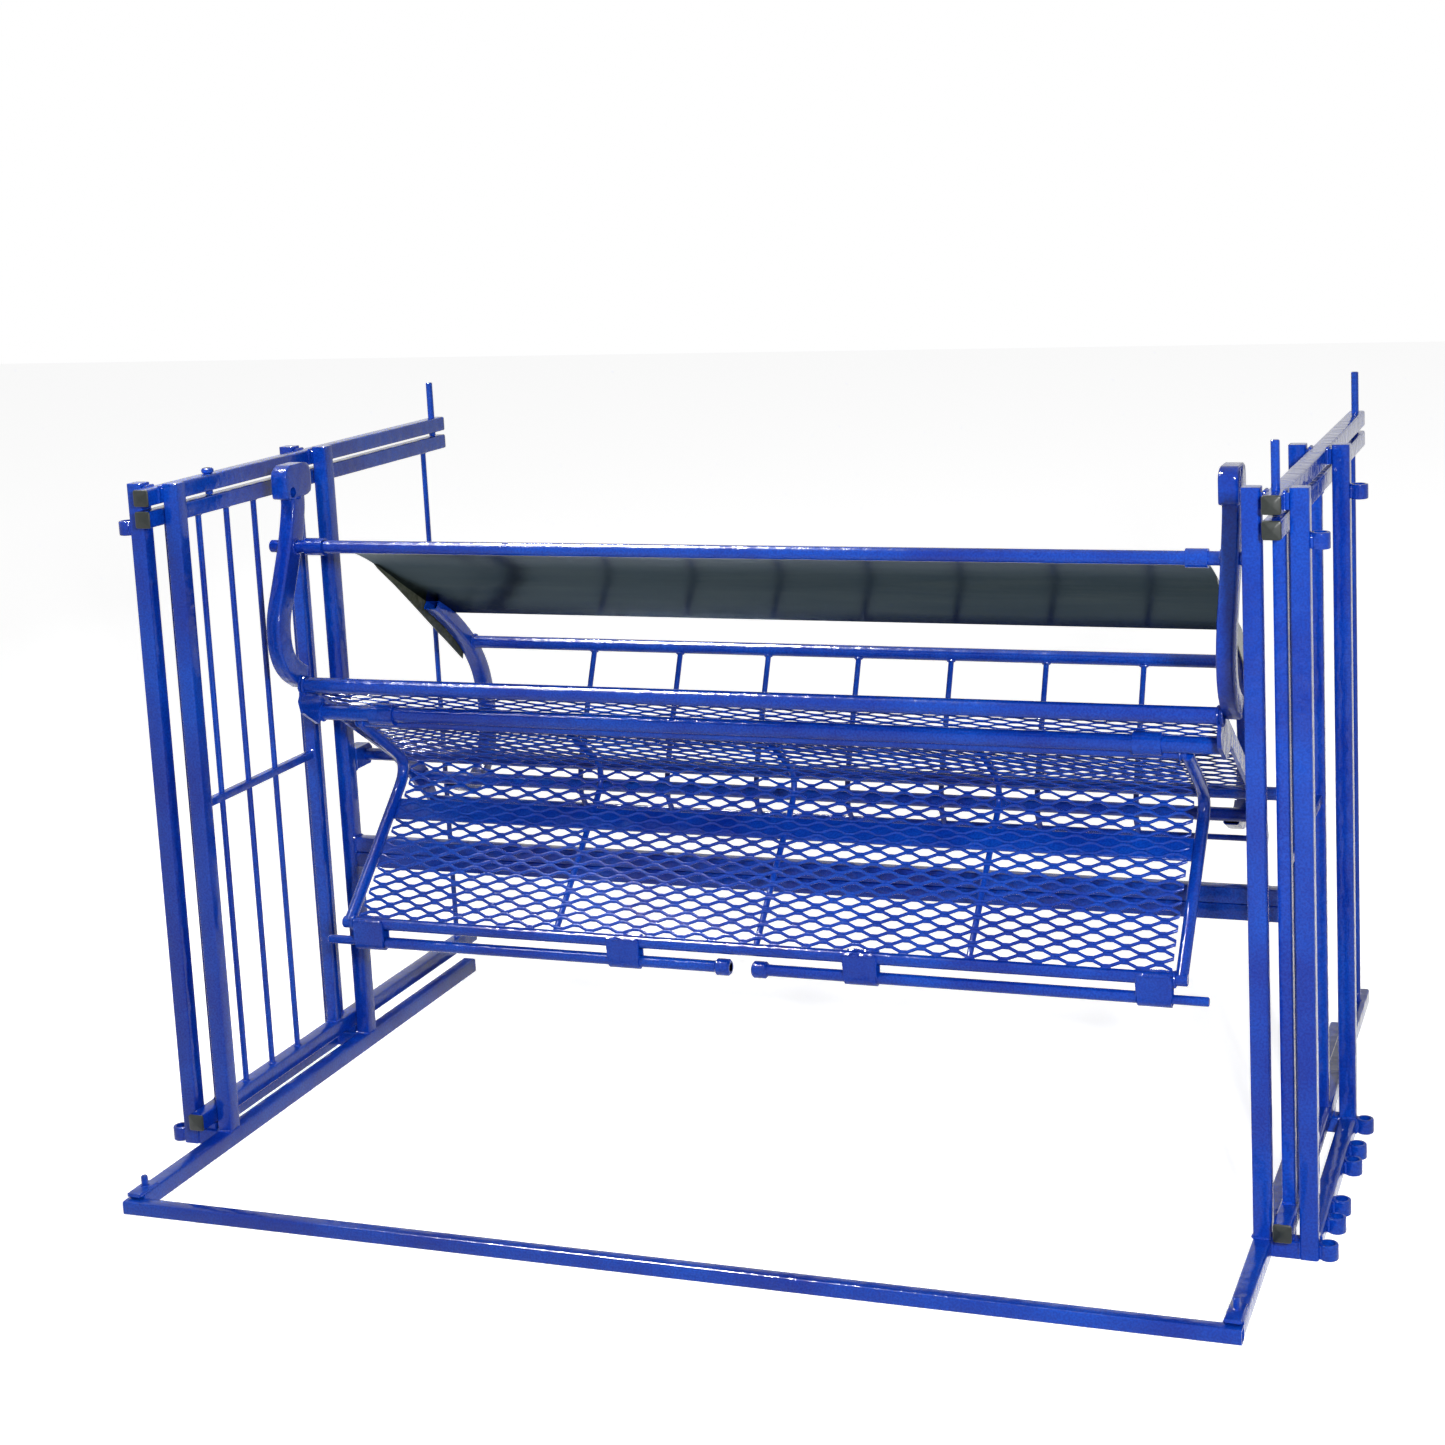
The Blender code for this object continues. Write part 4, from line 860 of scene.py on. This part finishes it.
SHEET_T = 0.0016
FLANGE_EDGE = ((0.9000, 0.7080), (0.9350, 0.6660), (0.9270, 0.6430), (0.8690, 0.6890), (0.8290, 0.7200),
               (0.7700, 0.7670), (0.7086, 0.8150), (0.6550, 0.8540))


def folded_sheet(line, thick, x_low, x_high):
    """A bent sheet: the line moved half its thickness to each side along its normal, and carried along X."""
    tangent = unit(np.gradient(line, axis=0))
    normal = np.stack([-tangent[:, 1], tangent[:, 0]], axis=1) * thick / 2
    outline = np.concatenate([line + normal, (line - normal)[::-1]])
    points = np.stack([np.c_[np.full(len(outline), x), outline] for x in (x_low, x_high)])
    around = len(outline)
    i = np.arange(len(line) - 1)
    edge_quads = np.stack([i, i + 1, around - 2 - i, around - 1 - i], axis=1)
    faces = grid_faces(2, around) + edge_quads[:, ::-1].tolist() + (edge_quads + around).tolist()
    return points.reshape(-1, 3), faces


def flat_plate(outline, x_low, x_high):
    """A flat plate: a (y, z) outline at two X places, its faces closed by one polygon each."""
    outline = np.asarray(outline, float)
    count = len(outline)
    points = np.concatenate([np.c_[np.full(count, x), outline] for x in (x_low, x_high)])
    return points, grid_faces(2, count) + end_faces(2, count)


low, high, middle, size = span("squeeze_sheet")
made_of("squeeze_plate", "squeeze", bare_sheet, [folded_sheet(sheet_line, SHEET_T, low[0], high[0])],
        ["squeeze_sheet"])
flange = np.array(SHEET_LINE[4:] + FLANGE_EDGE) + (FRONT_Y, 0.0)
# the flanges take a lighter, duller copy of the sheet's finish: its olive grey is painted light on them
flange_sheet_painted_light = bare_sheet.copy()
flange_sheet_painted_light.name = "mill_finish_steel_painted_light"
for shader in flange_sheet_painted_light.node_tree.nodes:
    if shader.type == "BSDF_PRINCIPLED":
        shader.inputs["Metallic"].default_value = 0.15
    # painted light: the ramp's colours are raised to a lit olive grey for the flanges
    if shader.type == "VALTORGB" and shader.color_ramp.elements[0].position < 0.32:
        shader.color_ramp.elements[0].color = linear("5C6152")
        shader.color_ramp.elements[1].color = linear("787C68")
flanges = [flat_plate(flange, *sorted((s * (high[0] - SHEET_T), s * high[0]))) for _, s in SIDES]
made_of("squeeze_end_flanges", "squeeze", flange_sheet_painted_light, flanges)

# ---------------- mesh floor
# A bent frame of round bar filled with the same expanded metal, with a flat bar across its face and three
# thin ribs behind it. It hangs on two sleeves on the hinge tube, here swung down and open.
FLOOR_EDGE = (0.4410, 0.3160)
FLOOR_LINE = ((0.5190, 0.6275), (0.5900, 0.5770), (0.6300, 0.5480), (0.6430, 0.5360), (0.6480, 0.5220),
              (0.6450, 0.5070), (0.6360, 0.4940), (0.5900, 0.4520), FLOOR_EDGE)
FLOOR_BAR_R = 0.0095
FLOOR_RIB_R = 0.0050
FLOOR_RIBS = (-0.315, 0.020, 0.355)
FLAT_BAR_UP = 0.2166
FLAT_BAR_W = 0.0380
FLAT_BAR_T = 0.0050
START_BAR_R = 0.0080        # bar beside the hinge
HINGE_SLEEVE_X = 0.6200
HINGE_SLEEVE_L = 0.0420
HINGE_SLEEVE_R = 0.0172
HINGE_SLEEVE_BORE = 0.0131

frame_low, frame_high = span("floor_frame")[:2]
half_length = frame_high[0]
bar_x = half_length - FLOOR_BAR_R
line = bent(FLOOR_LINE)
edge = np.array(FLOOR_EDGE) + (FRONT_Y, 0)
start = np.array(FLOOR_LINE[0]) + (FRONT_Y, 0)
shells = [crossbar(-half_length, half_length, edge, FLOOR_BAR_R, soft=0.0014),
          crossbar(-bar_x, bar_x, start, START_BAR_R, 20)]
floor_welds = []
for side, s in SIDES:
    shells.append(bar(np.c_[np.full(len(line), s * bar_x), line], circle(FLOOR_BAR_R, 24)))
    x = s * (bar_x - FLOOR_BAR_R)
    floor_welds.append(bead(upright_ring(x, edge, FLOOR_BAR_R + 0.001, 20), 0.0024, (1, 0, 0)))
    floor_welds.append(bead(upright_ring(x, start, START_BAR_R + 0.0008, 20), 0.0022, (1, 0, 0)))
leg = unit(edge - line[-2])
out_of_leg = np.array([-leg[1], leg[0]])        # towards the back
flat_middle = edge - leg * FLAT_BAR_UP + out_of_leg * (FLAT_BAR_T / 2 + 0.0014)
across_leg = np.array([0.0, *leg])
shells.append(bar([(-bar_x, *flat_middle), (bar_x, *flat_middle)],
                  rounded_square(FLAT_BAR_W, FLAT_BAR_T, 0.0011), across_leg))
turned = unit(np.gradient(line, axis=0))
rib_line = line + np.stack([-turned[:, 1], turned[:, 0]], axis=1) * (FLOOR_RIB_R + 0.001)
for x in FLOOR_RIBS:
    shells.append(bar(np.c_[np.full(len(line), x), rib_line], circle(FLOOR_RIB_R, 14)))
made_of("floor_frame_bars", "floor", blue_enamel, shells, ["floor_frame"])
hinge = span("hinge_tube")[2]
shells = []
for side, s in SIDES:
    ends = [(s * HINGE_SLEEVE_X + t * HINGE_SLEEVE_L / 2, hinge[1], hinge[2]) for t in (-1, 1)]
    shells.append(pipe(ends, circle(HINGE_SLEEVE_R, 32), circle(HINGE_SLEEVE_BORE, 32), (0, 1, 0)))
made_of("floor_hinge_sleeves", "floor", blue_enamel, shells)
low, high, middle, size = span("floor_mesh")
made_of("floor_expanded_metal", "floor", blue_enamel, expanded_metal(line, low[0], high[0]),
        ["floor_mesh"], MESH_SHARP)

# ---------------- floor bolts and their clips
# Two round bars slide along the free edge in bent strap clips, and shoot outwards into the keepers. Each clip
# is hot-formed round the bar and welded to the edge all round; its rough surface is drawn smooth.
BOLT_DROP = 0.0305
BOLT_R = 0.0070
BOLT_BODY_R = 0.0090
KNOB_R = 0.0130
KNOB_L = 0.0240
CLIP_X = (0.1920, 0.6350)
CLIP_W = 0.0500
CLIP_T = 0.0030

bolt_z = edge[1] - BOLT_DROP
for side, s in SIDES:
    low, high, middle, size = span("floor_bolt_" + side)
    inner, tip = (low[0], high[0]) if s > 0 else (high[0], low[0])
    shoulder = s * (CLIP_X[1] - CLIP_W / 2)
    place = (edge[0], bolt_z)
    shells = [crossbar(inner, tip, place, BOLT_R, 20, 0.0016),
              crossbar(inner, shoulder, place, BOLT_BODY_R, soft=0.0020),
              crossbar(inner, inner + s * KNOB_L, place, KNOB_R, soft=0.0030)]
    made_of("edge_bolt_" + side, "bolt_" + side, blue_enamel, shells, ["floor_bolt_" + side])
half_strap = FLOOR_BAR_R + CLIP_T / 2 - 0.0003
under = BOLT_BODY_R + 0.0004 + CLIP_T / 2
turn = np.linspace(0, np.pi, 13)
saddle = np.stack([-half_strap * np.cos(turn), -under * np.sin(turn)], axis=1) + (edge[0], bolt_z)
front_y, back_y, lip_z = edge[0] - half_strap, edge[0] + half_strap, edge[1] + 0.006
strap = np.concatenate([[(front_y, lip_z)], saddle, [(back_y, lip_z)]])
clips = []
for side, s in SIDES:
    for middle_x in CLIP_X:
        x_low, x_high = s * middle_x - CLIP_W / 2, s * middle_x + CLIP_W / 2
        clips.append(folded_sheet(strap, CLIP_T, x_low, x_high))
        for y in (front_y, back_y):
            floor_welds.append(weld_run([(x_low, y, lip_z), (x_high, y, lip_z)], 0.0030, (0, 1, 0)))
        for x in (x_low, x_high):
            edge_run = [(x, front_y, lip_z), (x, front_y, bolt_z + 0.006)]
            floor_welds.append(weld_run(edge_run, 0.0022, (1, 0, 0)))
made_of("bolt_clips", "floor", blue_enamel, clips)
made_of("floor_welds", "floor", blue_enamel, floor_welds)
